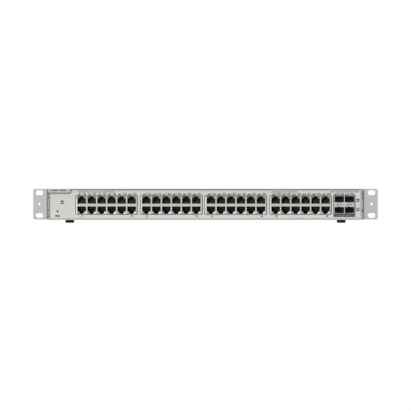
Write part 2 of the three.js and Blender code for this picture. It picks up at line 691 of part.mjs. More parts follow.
function addPowerSupply() {
  const { left, right, front, back } = SUPPLY;
  addPiece('supply_board', block([left, front, BOARD_BOTTOM], [right, back, BOARD_TOP]), COLOURS.board);
  const film = block([left + 10, front + 10, FLOOR + GAP], [right - 10, back - 18, FLOOR + GAP + 0.5]);
  addPiece('supply_insulator', film, COLOURS.film);
  addPiece('supply_transformer', supplyTransformer(), COLOURS.winding, [122, 60, ON_BOARD]);
  addPiece('supply_capacitor', rod('z', [190, 40], 9, ON_BOARD, ON_BOARD + 30), COLOURS.film);
  addPiece('supply_heatsink', finnedBlock(50, 6, 2, 22, 6, 1.8), COLOURS.aluminium, [135, 28, ON_BOARD]);
  const harness = [[96, 55, ON_BOARD], [96, 55, 19], [85, 55, 26], [68, 55, 19], [68, 55, ON_BOARD]];
  addPiece('dc_harness', tube(harness, 2.5, 16), COLOURS.lead);
  const leadStart = BACK - 24 - 1;
  const leadEnd = leadStart - 9;
  const leads = [[165, leadStart, 22], [165, leadStart - 5, 21], [165, leadEnd, 17], [165, leadEnd, ON_BOARD]];
  addPiece('mains_leads', tube(leads, 2.5, 12), COLOURS.lead);
}

function addRearPanel() {
  const place = [INLET.x, BACK, MIDDLE];
  addPiece('ac_inlet', acInlet(), COLOURS.black, place);
  pinPlaces().forEach(([x, z], i) => {
    const name = ['live', 'neutral', 'earth'][i];
    addPiece(`inlet_pin_${name}`, inletPin(), COLOURS.nickel, [INLET.x + x, BACK, MIDDLE + z]);
  });
  const screw = panScrew(GROUND.head, REAR_STANDOUT - GAP, GROUND.shank, 7, 'y');
  addPiece('ground_screw', screw, COLOURS.steel, [GROUND.x, BACK + GAP, GROUND.z]);
}

function addFans() {
  FAN_Y.forEach((y, i) => {
    addPiece(`fan_frame_${i + 1}`, fanFrame(), COLOURS.black, [FAN_X, y, MIDDLE]);
    addPiece(`fan_rotor_${i + 1}`, fanRotor(), COLOURS.black, [FAN_X, y, MIDDLE]);
  });
}

addCase();
addEars();
addPorts();
addBoard();
addPowerSupply();
addRearPanel();
addFans();

export default model;
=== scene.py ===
"""The looks of a 1U rackmount network switch, built around its CAD frame. Sizes are in millimetres."""

import math
import random
from collections import namedtuple

import bmesh
import bpy
from mathutils import Matrix, Vector


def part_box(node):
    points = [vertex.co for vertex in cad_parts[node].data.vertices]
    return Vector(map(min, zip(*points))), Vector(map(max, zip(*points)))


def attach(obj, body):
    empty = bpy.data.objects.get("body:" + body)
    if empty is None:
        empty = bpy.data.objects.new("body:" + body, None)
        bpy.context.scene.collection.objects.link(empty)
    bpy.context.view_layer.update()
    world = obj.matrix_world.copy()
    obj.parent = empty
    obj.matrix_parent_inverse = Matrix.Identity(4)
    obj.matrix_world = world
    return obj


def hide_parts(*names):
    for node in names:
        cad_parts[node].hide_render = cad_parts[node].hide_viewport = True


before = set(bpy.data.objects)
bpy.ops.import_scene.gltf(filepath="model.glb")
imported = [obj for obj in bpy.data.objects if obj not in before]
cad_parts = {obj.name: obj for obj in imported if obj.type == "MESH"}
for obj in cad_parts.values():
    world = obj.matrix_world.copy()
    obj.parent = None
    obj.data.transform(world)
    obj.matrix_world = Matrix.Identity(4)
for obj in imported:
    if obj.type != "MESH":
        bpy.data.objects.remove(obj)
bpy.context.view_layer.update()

MM = 0.001


class Span(namedtuple("Span", "left front bottom right back top")):
    """An extent in millimetres, and its middle along each axis."""
    x = property(lambda self: (self.left + self.right) / 2)
    y = property(lambda self: (self.front + self.back) / 2)
    z = property(lambda self: (self.bottom + self.top) / 2)


def span(node):
    """A CAD node's extent in millimetres."""
    low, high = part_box(node)
    return Span(*(value / MM for value in (*low, *high)))


BEZEL = span("front_bezel")
BASE = span("chassis_base")
COVER = span("top_cover")
CAGE = span("sfp_cage")
SHIELDS = [span(f"rj45_shield_{i}") for i in (1, 2, 3, 4)]
HOUSING = span("rj45_housing_1")
EAR = span("rack_ear_right")
INLET = span("ac_inlet")
FANS = [span("fan_frame_1"), span("fan_frame_2")]

FRONT = BEZEL.front
SIDE = BEZEL.right
MIDDLE = BEZEL.z

# Front face
FACE = span("status_light_guide").front - 0.1
PANEL = 2.0
OVERLAY = FACE - 0.15
SKIRT = 2.0
CREST = 0.08
RIM = {"left": 2.3, "right": 2.3, "top": 2.1, "bottom": 2.65}
RIGHT_SLANT = 0.9
TAB_RIGHT = -189.1
TAB_LOW = 42.3
TAB_SLOPE = 1.9
STATUS = (-200.7, 30.1)
STATUS_HALVES = (1.8, 1.0)
RESET = (-207.3, 16.1)
RESET_RADIUS = 1.3

# Ports, measured from the middle of a gang
GANG_X = [shield.x for shield in SHIELDS]
GANG_Z = SHIELDS[0].z
# Each shield's reach to the left and right of its middle, and the gap beside it
SHIELD_REACH = [(43.1, 43.1), (43.1, 43.5), (43.5, 43.1), (43.1, 43.1)]
SIDE_GAP = 0.35
COLUMNS = [step * 13.97 for step in (-2.5, -1.5, -0.5, 0.5, 1.5, 2.5)]
PORT_HALF = 6.0
PORT_INNER = 1.85
PORT_SHOULDER = 8.75
SHOULDER_HALF = 4.4
PORT_OUTER = 12.3
NOTCH_HALF = 1.8
FUNNEL = 1.5
WALL = 0.3
CONTACT_PITCH = 1.02
ARROW_Z = 40.1
ARROW_SPREAD = 3.35
ARROW_HALF = 1.45
ARROW_RISE = 1.15

# Print: bars as (left, height, widths) of each row, and labels as (text, x from the cage's middle, way)
LEGENDS = [
    (-178.1, 43.2, (7.6, 2.2, 5.9, 3.4, 3.8, 6.0, 7.2, 8.2)), (91.7, 43.2, (8.6, 5.4, 6.8, 5.0, 7.6)),
    (174.4, 43.4, (6.2, 7.2, 8.0, 8.8, 6.4)),
]
SFP_LABELS = [("49", -12.3, 1), ("50", -5.0, -1), ("51", 2.4, 1), ("52", 9.2, -1)]
SFP_LABEL_Z = 40.2
LOWER_LABEL_SHIFTS = [(0.3, 0.5), (0.4, 0.7), (1.6, 1.2), (1.0, 2.1)]
LOWER_LABEL_Z = 9.3
NUMBER_SHIFTS = {1: 1.9, 2: 2.5}
LEGEND_HEIGHT = 1.9

# SFP+ cage
SLOT_COLUMN = 7.125
SLOT_HALF = 6.4
SLOT_INNER = 3.45
SLOT_OUTER = 11.75
SLOT_DEPTH = 34.4
CAGE_ARROWS = [(-9.3, 1), (-4.95, -1), (4.95, 1), (9.3, -1)]

# Sheet metal
SHEET = 1.2
FOLD = 1.7
EAR_SHEET = 2.0
EAR_FOLD = 2.2
EAR_RAKE = 1.3
EAR_SLOT_X = 232.6
EAR_SLOT_SPACING = 31.75
EAR_SLOT_HALVES = (5.2, 3.45)
EAR_HOLE = 1.7
COVER_SCREW_X = (-180, -10, 208)
FEET = (1, 2, 3, 4)
COVER_TAB_Z = 41.5
COVER_SIDE_SCREW_Y = (-61, 81)
BOARD_TOP = span("main_board").top

# Bought-in parts and what is on the boards
FAN_SCREW = 16
INLET_SCREW = 20
BOARD_SCREWS = [(-205, -88), (-88, -45), (88, -45), (205, -88), (-120, 40), (60, 45)]
BOARD_SCREWS += [(x, y) for x in (90, 200) for y in (23, 87)]
CHIPS = [(-150, -20, 7), (-60, 20, 5), (40, 5, 6), (20, 42, 4), (-90, 15, 4.5), (150, -30, 6)]
CAN_PLACES = [(50, 40), (50, 28), (38, 46), (-160, 42), (-148, 42), (60, -22), (-170, -26)]
CHOKE_PLACES = [(150, 45), (102, 30)]
CHOKE_RADIUS = 7

# Maps from an outline's (u, v) and a depth to x, y, z
FRONT_VIEW = Matrix(((1, 0, 0, 0), (0, 0, 1, 0), (0, 1, 0, 0), (0, 0, 0, 1)))
SIDE_VIEW = Matrix(((0, 0, 1, 0), (1, 0, 0, 0), (0, 1, 0, 0), (0, 0, 0, 1)))
TOP_VIEW = Matrix.Identity(4)


# Materials

def tint(code):
    """A linear colour from a six digit sRGB code."""
    parts = [int(code[i:i + 2], 16) / 255 for i in (0, 2, 4)]
    return tuple(p / 12.92 if p <= 0.04045 else ((p + 0.055) / 1.055) ** 2.4 for p in parts)


def shade(colour, factor):
    return (*(min(1.0, channel * factor) for channel in colour), 1.0)


def add_node(tree, kind, values=None, **settings):
    """A shader node; values maps a socket to a number, a colour or another node's output."""
    made = tree.nodes.new("ShaderNode" + kind)
    for key, value in settings.items():
        setattr(made, key, value)
    for socket, value in (values or {}).items():
        if isinstance(value, bpy.types.NodeSocket):
            tree.links.new(value, made.inputs[socket])
        else:
            made.inputs[socket].default_value = value
    return made


def position(tree, stretch=(1, 1, 1)):
    """Object coordinates in millimetres, stretched along the axes."""
    place = add_node(tree, "TexCoord").outputs["Object"]
    scale = tuple(factor / MM for factor in stretch)
    return add_node(tree, "Mapping", {"Vector": place, "Scale": scale}).outputs["Vector"]


def noise(tree, place, size, detail=2.0):
    """Noise with features of about that size in millimetres."""
    values = {"Vector": place, "Scale": 1 / size, "Detail": detail}
    return add_node(tree, "TexNoise", values).outputs["Fac"]


def spread(tree, value, low, high, start=0.3, end=0.7):
    values = {"Value": value, "From Min": start, "From Max": end, "To Min": low, "To Max": high}
    return add_node(tree, "MapRange", values).outputs["Result"]


def blend_colours(tree, factor, first, second):
    values = {"Factor": factor, "A": first, "B": second}
    mix = tree.nodes.new("ShaderNodeMix")
    mix.data_type = "RGBA"
    colour_sockets = [socket for socket in mix.inputs if socket.type == "RGBA"]
    for socket, value in zip([mix.inputs[0], *colour_sockets], values.values()):
        if isinstance(value, bpy.types.NodeSocket):
            tree.links.new(value, socket)
        else:
            socket.default_value = value
    return next(output for output in mix.outputs if output.type == "RGBA")


def surface(name, colour, roughness, metallic, mottle, patch, grain, relief, stretch=(1, 1, 1), **constants):
    """A base material: slow colour variation, uneven roughness and a fine grain in relief."""
    material = bpy.data.materials.new(name)
    material.use_nodes = True
    tree = material.node_tree
    shader = tree.nodes["Principled BSDF"]
    place = position(tree, stretch)
    patches = spread(tree, noise(tree, place, patch), 0, 1)
    colours = [shade(colour, 1 - mottle), shade(colour, 1 + mottle)]
    tree.links.new(blend_colours(tree, patches, *colours), shader.inputs["Base Color"])
    wear = noise(tree, place, patch * 0.4, 4)
    worn = spread(tree, wear, roughness - ROUGHNESS_SPREAD, roughness + ROUGHNESS_SPREAD)
    tree.links.new(worn, shader.inputs["Roughness"])
    bump = {"Height": noise(tree, place, grain, 3), "Distance": relief * MM, "Strength": 1.0}
    tree.links.new(add_node(tree, "Bump", bump).outputs["Normal"], shader.inputs["Normal"])
    for socket, value in {"Metallic": metallic, **constants}.items():
        shader.inputs[socket.replace("_", " ")].default_value = value
    return material


def add_tracks(material):
    """Faint copper tracks under the solder mask, with tinned pads here and there."""
    tree = material.node_tree
    shader = tree.nodes["Principled BSDF"]
    base = shader.inputs["Base Color"].links[0].from_socket
    place = position(tree)
    tracks = add_node(tree, "TexBrick", {
        "Vector": place, "Scale": 0.22, "Mortar Size": 0.035, "Mortar Smooth": 0.1, "Brick Width": 3.1,
        "Row Height": 0.32,
    }).outputs["Fac"]
    tracked = blend_colours(tree, tracks, base, shade(tint("2f7a50"), 1))
    pads = add_node(tree, "TexVoronoi", {"Vector": place, "Scale": 0.35, "Randomness": 0.7})
    dots = spread(tree, pads.outputs["Distance"], 1, 0, 0.16, 0.18)
    tree.links.new(blend_colours(tree, dots, tracked, shade(tint("b9b6a4"), 1)), shader.inputs["Base Color"])


ROUGHNESS_SPREAD = 0.05
# Of each finish: colour, roughness, metallic, mottle, size of its patches and of its grain, relief
LOOKS = {
    "bezel": ("c3c4c0", 0.5, 0, 0.01, 18, 0.55, 0.005),
    "overlay": ("e0e0da", 0.46, 0, 0.008, 18, 0.4, 0.003),
    "case_paint": ("c2c3c0", 0.48, 0, 0.012, 18, 0.6, 0.01),
    "ear_paint": ("c9c9c9", 0.46, 0, 0.01, 18, 0.6, 0.006),
    "nickel_shield": ("bdbdbf", 0.36, 1, 0.02, 6, 0.35, 0.004),
    "black_plastic": ("1c1c1c", 0.42, 0, 0.06, 18, 0.25, 0.01),
    "housing_black": ("171718", 0.6, 0, 0.06, 18, 0.25, 0.01),
    "rubber": ("151515", 0.8, 0, 0.1, 18, 0.4, 0.03),
    "light_guide": ("2c3337", 0.25, 0, 0.03, 18, 1.2, 0.004),
    "circuit_board": ("1c5a38", 0.42, 0, 0.06, 18, 0.7, 0.004),
    "chip_black": ("17181a", 0.55, 0, 0.05, 18, 0.12, 0.008),
    "aluminium": ("b9bbbd", 0.38, 1, 0.03, 5, 0.3, 0.006),
    "insulator_film": ("22252b", 0.3, 0, 0.05, 18, 4, 0.02),
    "transformer": ("c9a63c", 0.4, 0, 0.05, 4, 2.4, 0.03),
    "ferrite": ("2b2b2d", 0.7, 0, 0.08, 3, 0.3, 0.02),
    "capacitor_sleeve": ("1d2333", 0.3, 0, 0.05, 18, 1.5, 0.01),
    "lead_sleeve": ("222226", 0.45, 0, 0.05, 18, 0.5, 0.01),
    "pin_brass": ("cdbf96", 0.25, 1, 0.03, 3, 0.3, 0.004),
    "fan_plastic": ("161617", 0.38, 0, 0.06, 18, 0.4, 0.008),
    "screw_steel": ("c6c5c2", 0.3, 1, 0.05, 2, 0.2, 0.004),
    "gold_contact": ("8c7c34", 0.5, 0.6, 0.04, 1.5, 0.2, 0.003),
    "print_ink": ("383837", 0.6, 0, 0.04, 18, 0.2, 0.004),
    "pale_ink": ("a6a7a3", 0.6, 0, 0.04, 18, 0.2, 0.004),
    # Band ink: the print of the dark band below the cage, and also the painted shade of the dark frame round
    # the cage
    "band_ink_and_painted_shade": ("4a4f4e", 0.55, 0, 0.04, 18, 0.2, 0.004),
    "label": ("e8e8e4", 0.45, 0, 0.015, 18, 1.0, 0.004),
}
EXTRA_LOOKS = {
    "nickel_shield": {"stretch": (1, 1, 5)},
    "aluminium": {"stretch": (6, 0.5, 1)},
    "transformer": {"stretch": (0.2, 0.2, 1)},
    "light_guide": {"Transmission_Weight": 0.2, "IOR": 1.49},
}
FINISHES = {
    name: surface(name, tint(code), *numbers, **EXTRA_LOOKS.get(name, {}))
    for name, (code, *numbers) in LOOKS.items()
}
add_tracks(FINISHES["circuit_board"])


# Outlines: lists of (u, v) points, anticlockwise

def rectangle(left, low, right, high):
    return [(left, low), (right, low), (right, high), (left, high)]


def soft_box(left, low, right, high, radius, steps=4):
    return rounded(rectangle(left, low, right, high), radius, steps)


def rounded(corners, radius, steps=4):
    """The outline through the corners, each rounded by the radius, or by its own in a list of radii."""
    radii = radius if isinstance(radius, list) else [radius] * len(corners)
    outline = []
    for i, reach in enumerate(radii):
        corner = Vector(corners[i])
        if reach <= 0:
            outline.append(corner)
            continue
        before = (Vector(corners[i - 1]) - corner).normalized()
        after = (Vector(corners[(i + 1) % len(corners)]) - corner).normalized()
        half = before.angle(after) / 2
        centre = corner + (before + after).normalized() * reach / math.sin(half)
        start = corner + before * reach / math.tan(half) - centre
        end = corner + after * reach / math.tan(half) - centre
        turn = math.atan2(start.cross(end), start.dot(end))
        outline += [centre + Matrix.Rotation(turn * k / steps, 2) @ start for k in range(steps + 1)]
    return [point for i, point in enumerate(outline) if (point - outline[i - 1]).length > 1e-5]


def circle(u, v, radius, sides=24):
    angles = [2 * math.pi * k / sides for k in range(sides)]
    return [Vector((u + radius * math.cos(a), v + radius * math.sin(a))) for a in angles]


def inset(outline, distance):
    """The outline moved inwards by the distance, or outwards where it is negative."""
    moved = []
    for i, point in enumerate(outline):
        point = Vector(point)
        along = (point - Vector(outline[i - 1])).normalized()
        onward = (Vector(outline[(i + 1) % len(outline)]) - point).normalized()
        first = Vector((-along.y, along.x))
        second = Vector((-onward.y, onward.x))
        moved.append(point + (first + second) * distance / (1 + first.dot(second)))
    return moved


def triangle(u, v, direction, scale=1.0):
    """A light window's or printed arrow, pointing up (1) or down (-1)."""
    half, rise = ARROW_HALF * scale, ARROW_RISE * scale
    corners = [(u - half, v - rise * direction), (u + half, v - rise * direction), (u, v + rise * direction)]
    return corners[::direction]


class Solid:
    """A mesh built in millimetres from rings, the walls between them and the faces that close them."""

    def __init__(self, view=TOP_VIEW, origin=(0, 0, 0)):
        self.mesh = bmesh.new()
        self.place = Matrix.Translation(origin) @ view

    def ring(self, outline, depth):
        return [self.mesh.verts.new(self.place @ Vector((u, v, depth))) for u, v in outline]

    def rings(self, *levels):
        """Rings of equal length at their depths, joined by walls."""
        made = [self.ring(outline, depth) for outline, depth in levels]
        for near, far in zip(made, made[1:]):
            self.wall(near, far)
        return made[0], made[-1]

    def wall(self, near, far):
        for i in range(len(near)):
            self.mesh.faces.new((near[i - 1], near[i], far[i], far[i - 1]))

    def face(self, *rings):
        """Fills the space between the first ring and the others, or the whole of a single ring."""
        if len(rings) == 1:
            self.mesh.faces.new(rings[0])
            return
        edges = [self.mesh.edges.get((ring[i - 1], ring[i])) for ring in rings for i in range(len(ring))]
        bmesh.ops.triangle_fill(self.mesh, use_beauty=True, edges=edges)

    def close(self, *pairs):
        """Closes both ends of a body, from the (near, far) rings of its outline and of each hole."""
        for rings in zip(*pairs):
            self.face(*rings)

    def slab(self, outline, near, far, edge=0.2, holes=(), pockets=()):
        """A plate between two depths with rounded edges; a hole is (outline, edge), a pocket
        (outline, edge, bottom depth)."""
        sides = [self.rings(*soft_side(outline, near, far, edge, 1))]
        sides += [self.rings(*soft_side(hole, near, far, soft, -1)) for hole, soft in holes]
        mouths = []
        for pocket, soft, bottom in pockets:
            levels = [(inset(pocket, -run), near + drop) for run, drop in rounding(soft)]
            mouth, end = self.rings(*levels, (pocket, bottom))
            mouths.append(mouth)
            self.face(end)
        self.face(*(side[0] for side in sides), *mouths)
        self.face(*(side[1] for side in sides))

    def turned(self, u, v, profile, sides=24):
        """A closed body of rotation about (u, v) from (radius, depth) pairs, flat at both ends."""
        self.close(self.rings(*((circle(u, v, radius, sides), depth) for radius, depth in profile)))

    def turned_ring(self, u, v, profile, sides=32):
        """A body of rotation whose closed profile keeps clear of the axis."""
        made = [self.ring(circle(u, v, radius, sides), depth) for radius, depth in profile]
        for near, far in zip(made, made[1:] + made[:1]):
            self.wall(near, far)

    def cut_across(self, axis, places):
        """Adds edges across the mesh, where it is then folded."""
        normal = Vector([1 if i == axis else 0 for i in range(3)])
        for place in places:
            geometry = [*self.mesh.verts, *self.mesh.edges, *self.mesh.faces]
            point = normal * place
            bmesh.ops.bisect_plane(self.mesh, geom=geometry, plane_co=point, plane_no=normal, dist=1e-5)

    def remap(self, move):
        for vert in self.mesh.verts:
            vert.co = Vector(move(*vert.co))

    def piece(self, name, finish, body="chassis", replaced=(), smooth=32, bevel=0.0):
        bmesh.ops.recalc_face_normals(self.mesh, faces=self.mesh.faces)
        self.mesh.transform(Matrix.Scale(MM, 4))
        data = bpy.data.meshes.new(name)
        self.mesh.to_mesh(data)
        self.mesh.free()
        data.shade_smooth()
        data.set_sharp_from_angle(angle=math.radians(smooth))
        return add_piece(name, data, finish, body, replaced, bevel=bevel)


def add_piece(name, data, finish, body="chassis", replaced=(), matrix=None, bevel=0.0):
    """An object that rides on a body, with its finish."""
    made = link(name, data)
    if matrix:
        made.matrix_world = matrix
    if not data.materials:
        data.materials.append(FINISHES[finish])
    if bevel:
        soften(made, bevel)
    normals = made.modifiers.new("normals", "WEIGHTED_NORMAL")
    normals.keep_sharp = True
    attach(made, body)
    if replaced:
        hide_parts(*replaced)
    return made


def link(name, data):
    made = bpy.data.objects.new(name, data)
    bpy.context.scene.collection.objects.link(made)
    return made


def plates(name, finish, outlines, near, far, edge=0.0, view=TOP_VIEW, origin=(0, 0, 0), **options):
    """A piece made of a plate for each outline, all between the same depths."""
    solid = Solid(view, origin)
    for outline in outlines:
        solid.slab(outline, near, far, edge)
    solid.piece(name, finish, **options)


def soften(made, width):
    bevel = made.modifiers.new("edges", "BEVEL")
    bevel.width = width * MM
    bevel.segments = 2
    bevel.limit_method = "ANGLE"
    bevel.angle_limit = math.radians(40)


def rounding(edge, steps=2):
    """(inset, depth) pairs that round an edge from a face down to its side."""
    if edge <= 0:
        return [(0, 0)]
    angles = [math.pi / 2 * k / steps for k in range(steps + 1)]
    return [(edge * (1 - math.sin(a)), edge * (1 - math.cos(a))) for a in angles]


def soft_side(outline, near, far, edge, sign):
    """The levels of a plate's side; sign is 1 for its outer side and -1 for a hole."""
    steps = rounding(edge)
    down = [(inset(outline, sign * run), near + drop) for run, drop in steps]
    up = [(inset(outline, sign * run), far - drop) for run, drop in reversed(steps)]
    return down + up


def fold(reach, depth, start, radius):
    """Where a point of a flat sheet goes when the sheet is folded up beyond start; depth is from its
    outer surface, and radius is the fold's outer radius. Gives (reach, depth)."""
    if reach <= start:
        return reach, depth
    angle = min((reach - start) / radius, math.pi / 2)
    beyond = reach - start - radius * angle
    arm = radius - depth
    return (
        start + arm * math.sin(angle) + beyond * math.cos(angle),
        radius - arm * math.cos(angle) + beyond * math.sin(angle),
    )


def fold_lines(start, radius, steps=4):
    return [start + radius * math.pi / 2 * k / steps for k in range(steps + 1)]


# Front bezel

def bezel_inside(shift):
    """The inner outline of the rim and the tab; shift goes from 0 at the crest to 1 at the face."""
    left = BEZEL.left + CREST + RIM["left"] * shift
    right = BEZEL.right - RIGHT_SLANT - CREST - RIM["right"] * shift
    low = BEZEL.bottom + CREST + RIM["bottom"] * shift
    high = BEZEL.top - CREST - RIM["top"] * shift
    tab_right = TAB_RIGHT + TAB_SLOPE * shift
    tab_low = TAB_LOW - TAB_SLOPE * shift
    corners = [
        (left, low), (right, low), (right, high), (tab_right, high), (tab_right, tab_low), (left, tab_low),
    ]
    radii = [1.2, 1.2, 1.2, 0.8, 2.2 + TAB_SLOPE * shift, 0.8]
    return rounded(corners, radii)


def bezel_rim_levels():
    """The rim's slope from its crest to the face, eased at both ends."""
    slope = [(0, 0), (0.03, 0.02), (0.07, 0.07), (0.88, 0.9), (0.95, 0.97), (1, 1)]
    return [(bezel_inside(shift), FRONT + (FACE - FRONT) * drop) for shift, drop in slope]


def bezel_windows():
    """(outline, run of the front slope, its depth) of each window in the front panel."""
    windows = []
    low, high = SHIELDS[0].bottom - 0.4, SHIELDS[0].top + 0.4
    for x, (left, right) in zip(GANG_X, SHIELD_REACH):
        gang = soft_box(x - left - SIDE_GAP, low, x + right + SIDE_GAP, high, 1.2)
        windows.append((gang, 0.45, 0.6))
        for place, direction in arrow_places():
            windows.append((triangle(x + place, ARROW_Z, direction), 0.08, 0.08))
    cage = soft_box(CAGE.left - 0.3, CAGE.bottom - 0.3, CAGE.right + 0.3, CAGE.top + 0.3, 0.6)
    windows.append((cage, 0.2, 0.2))
    (x, z), (half_width, half_height) = STATUS, STATUS_HALVES
    status = soft_box(x - half_width, z - half_height, x + half_width, z + half_height, 0.35)
    windows.append((status, 0.12, 0.12))
    windows.append((circle(*RESET, RESET_RADIUS), 0.2, 0.2))
    return windows


def arrow_places():
    return [place for x in COLUMNS for place in ((x - ARROW_SPREAD, 1), (x + ARROW_SPREAD, -1))]


def front_bezel():
    bezel = Solid(FRONT_VIEW)
    panel_back = FACE + PANEL
    outline = soft_box(BEZEL.left, BEZEL.bottom, BEZEL.right, BEZEL.top, 0.9)
    slanted = soft_box(BEZEL.left, BEZEL.bottom, BEZEL.right - RIGHT_SLANT, BEZEL.top, 0.9)
    inner = soft_box(BEZEL.left + SKIRT, BEZEL.bottom + SKIRT, BEZEL.right - SKIRT, BEZEL.top - SKIRT, 0.5)
    front_ring, panel_ring = bezel.rings(
        (inset(slanted, 0.05), FRONT), (slanted, FRONT + 0.05), (outline, FRONT + 2 * RIGHT_SLANT),
        (outline, BEZEL.back - 0.25), (inset(outline, 0.25), BEZEL.back), (inner, BEZEL.back),
        (inner, panel_back),
    )
    land, face_ring = bezel.rings(*bezel_rim_levels())
    bezel.face(front_ring, land)
    windows = bezel_windows()
    holes = [bezel.rings((inset(window, -run), FACE), (window, FACE + drop), (window, panel_back))
             for window, run, drop in windows]
    bezel.close((face_ring, panel_ring), *holes)
    bezel.piece("bezel_moulding", "bezel", replaced=["front_bezel"])
    overlay = Solid(FRONT_VIEW)
    cuts = [(inset(window, -run - 0.03), 0.02) for window, run, _ in windows]
    overlay.slab(inset(bezel_inside(1), 0.12), OVERLAY, FACE - 0.01, 0.05, holes=cuts)
    overlay.piece("front_overlay", "overlay")


# Printed marks on the front face

def add_marks(name, outlines, finish, surface_depth=OVERLAY):
    plates(name, finish, outlines, surface_depth - 0.03, surface_depth + 0.02, view=FRONT_VIEW)


def bar(left, right, z, height):
    return soft_box(left, z - height / 2, right, z + height / 2, height * 0.2, 3)


def bars(left, z, widths, height, gap=0.9):
    """A row of rounded bars in place of a line of small print."""
    made = []
    for width in widths:
        made.append(bar(left, left + width, z, height))
        left += width + gap
    return made


def dome(x, z, direction):
    """A small hood with its flat side away from the direction."""
    arc = [(x + 2.6 * math.cos(a), z + 1.9 * direction * math.sin(a)) for a in
           [math.pi * k / 10 for k in range(11)]]
    return arc[::direction]


def numerals(name, labels, finish, size=2.6):
    """Printed numbers, each (text, x, z), centred at its place."""
    whole = bmesh.new()
    for text, x, z in labels:
        curve = bpy.data.curves.new("numeral", "FONT")
        curve.body = text
        curve.size = size
        curve.align_x = "CENTER"
        curve.align_y = "CENTER"
        curve.extrude = 0.03
        curve.offset = 0.15
        curve.resolution_u = 2
        letters = bpy.data.objects.new("numeral", curve)
        data = bpy.data.meshes.new_from_object(letters)
        data.transform(Matrix.Translation((x, OVERLAY, z)) @ Matrix.Rotation(math.pi / 2, 4, "X"))
        whole.from_mesh(data)
        bpy.data.objects.remove(letters)
        bpy.data.curves.remove(curve)
        bpy.data.meshes.remove(data)
    whole.transform(Matrix.Scale(MM, 4))
    data = bpy.data.meshes.new(name)
    whole.to_mesh(data)
    whole.free()
    add_piece(name, data, finish)


def printed_front():
    for gang, x in enumerate(GANG_X):
        labels = []
        for i, (place, direction) in enumerate(arrow_places()):
            text = str(12 * gang + i + 1)
            labels.append((text, x + place + NUMBER_SHIFTS[len(text)], ARROW_Z - 0.2 * direction))
        numerals(f"port_numbers_{gang + 1}", labels, "print_ink")
    lower = []
    for gang, shifts in enumerate(LOWER_LABEL_SHIFTS):
        for port, column, shift in zip((2, 12), (COLUMNS[0], COLUMNS[-1]), shifts):
            lower.append((str(12 * gang + port), GANG_X[gang] + column + shift, LOWER_LABEL_Z))
    numerals("lower_port_numbers", lower, "print_ink", 3.1)
    numbers = [(text, CAGE.x + x + 2.9, SFP_LABEL_Z) for text, x, _ in SFP_LABELS]
    numerals("sfp_numbers", numbers, "print_ink")
    arrows = [triangle(CAGE.x + x, SFP_LABEL_Z, way) for _, x, way in SFP_LABELS]
    add_marks("sfp_arrows", arrows, "print_ink")
    add_marks("legend_bars", [mark for row in LEGENDS for mark in bars(*row, LEGEND_HEIGHT)], "pale_ink")
    add_marks("tab_bars", bars(-216.0, 45.5, (9.1, 9.3), 1.3, 2.4), "print_ink", FRONT)
    indicators = bars(STATUS[0] - 2.8, STATUS[1] - 2.7, (5.6,), 1.4)
    indicators += bars(RESET[0] - 3.4, 9.6, (6.8,), LEGEND_HEIGHT)
    add_marks("indicator_bars", indicators, "print_ink")
    icons = [dome(213.4, 32.0, 1), dome(213.4, 17.9, -1)]
    icons += [bar(211.0, 215.8, z, 0.9) for z in (30.9, 29.5, 20.6, 19.3)]
    add_marks("row_icons", icons, "print_ink")
    band = soft_box(CAGE.left - 0.3, 8.1, CAGE.right + 0.3, CAGE.bottom - 0.5, 0.4)
    add_marks("band_below_cage", [band], "band_ink_and_painted_shade")
    add_marks("band_bars", bars(CAGE.left + 6, 10.1, (5.6, 4.2, 6.4), 0.5), "pale_ink", OVERLAY - 0.04)


# RJ45 gangs

def port_mouth(x, row):
    """The pocket of one port with its small corner radii; its notch points away from the middle."""
    points = rounded([(x + u, v) for u, v in port_corners(0)], 0.4, 2)
    return [(u, v * row) for u, v in points][::row]


def port_corners(grow):
    """A port's outline: a wide mouth, a short step in at each shoulder, then a taper to the notch."""
    half, step, notch = PORT_HALF + grow, SHOULDER_HALF + grow / 2, NOTCH_HALF + grow / 2
    inner, outer = PORT_INNER - grow, PORT_OUTER + grow
    return [
        (-half, inner), (half, inner), (half, PORT_SHOULDER), (step, PORT_SHOULDER + 0.1), (notch, outer),
        (-notch, outer), (-step, PORT_SHOULDER + 0.1), (-half, PORT_SHOULDER),
    ]


def port_funnel(solid, x, row, start, end, grow):
    """Walls from a rectangular cell at the start to the notched mouth at the end, with a sloping shoulder in
    each outer corner. Gives both rings."""
    mouth = port_corners(grow)
    half, outer = mouth[1][0], mouth[4][1]
    cell = [*mouth[:3], (half, outer), *mouth[4:6], (-half, outer), mouth[7]]
    near, far = [solid.ring([(x + u, row * v) for u, v in outline], depth)
                 for outline, depth in ((cell, start), (mouth, end))]
    for a, b in ((0, 1), (1, 2), (4, 5), (7, 0)):
        solid.mesh.faces.new((near[a], near[b], far[b], far[a]))
    for corner in (3, 6):
        solid.mesh.faces.new((near[corner - 1], near[corner], far[corner - 1]))
        solid.mesh.faces.new((near[corner], far[corner], far[corner - 1]))
        solid.mesh.faces.new((near[corner], far[corner + 1], far[corner]))
        solid.mesh.faces.new((near[corner], near[corner + 1], far[corner + 1]))
    return near, far


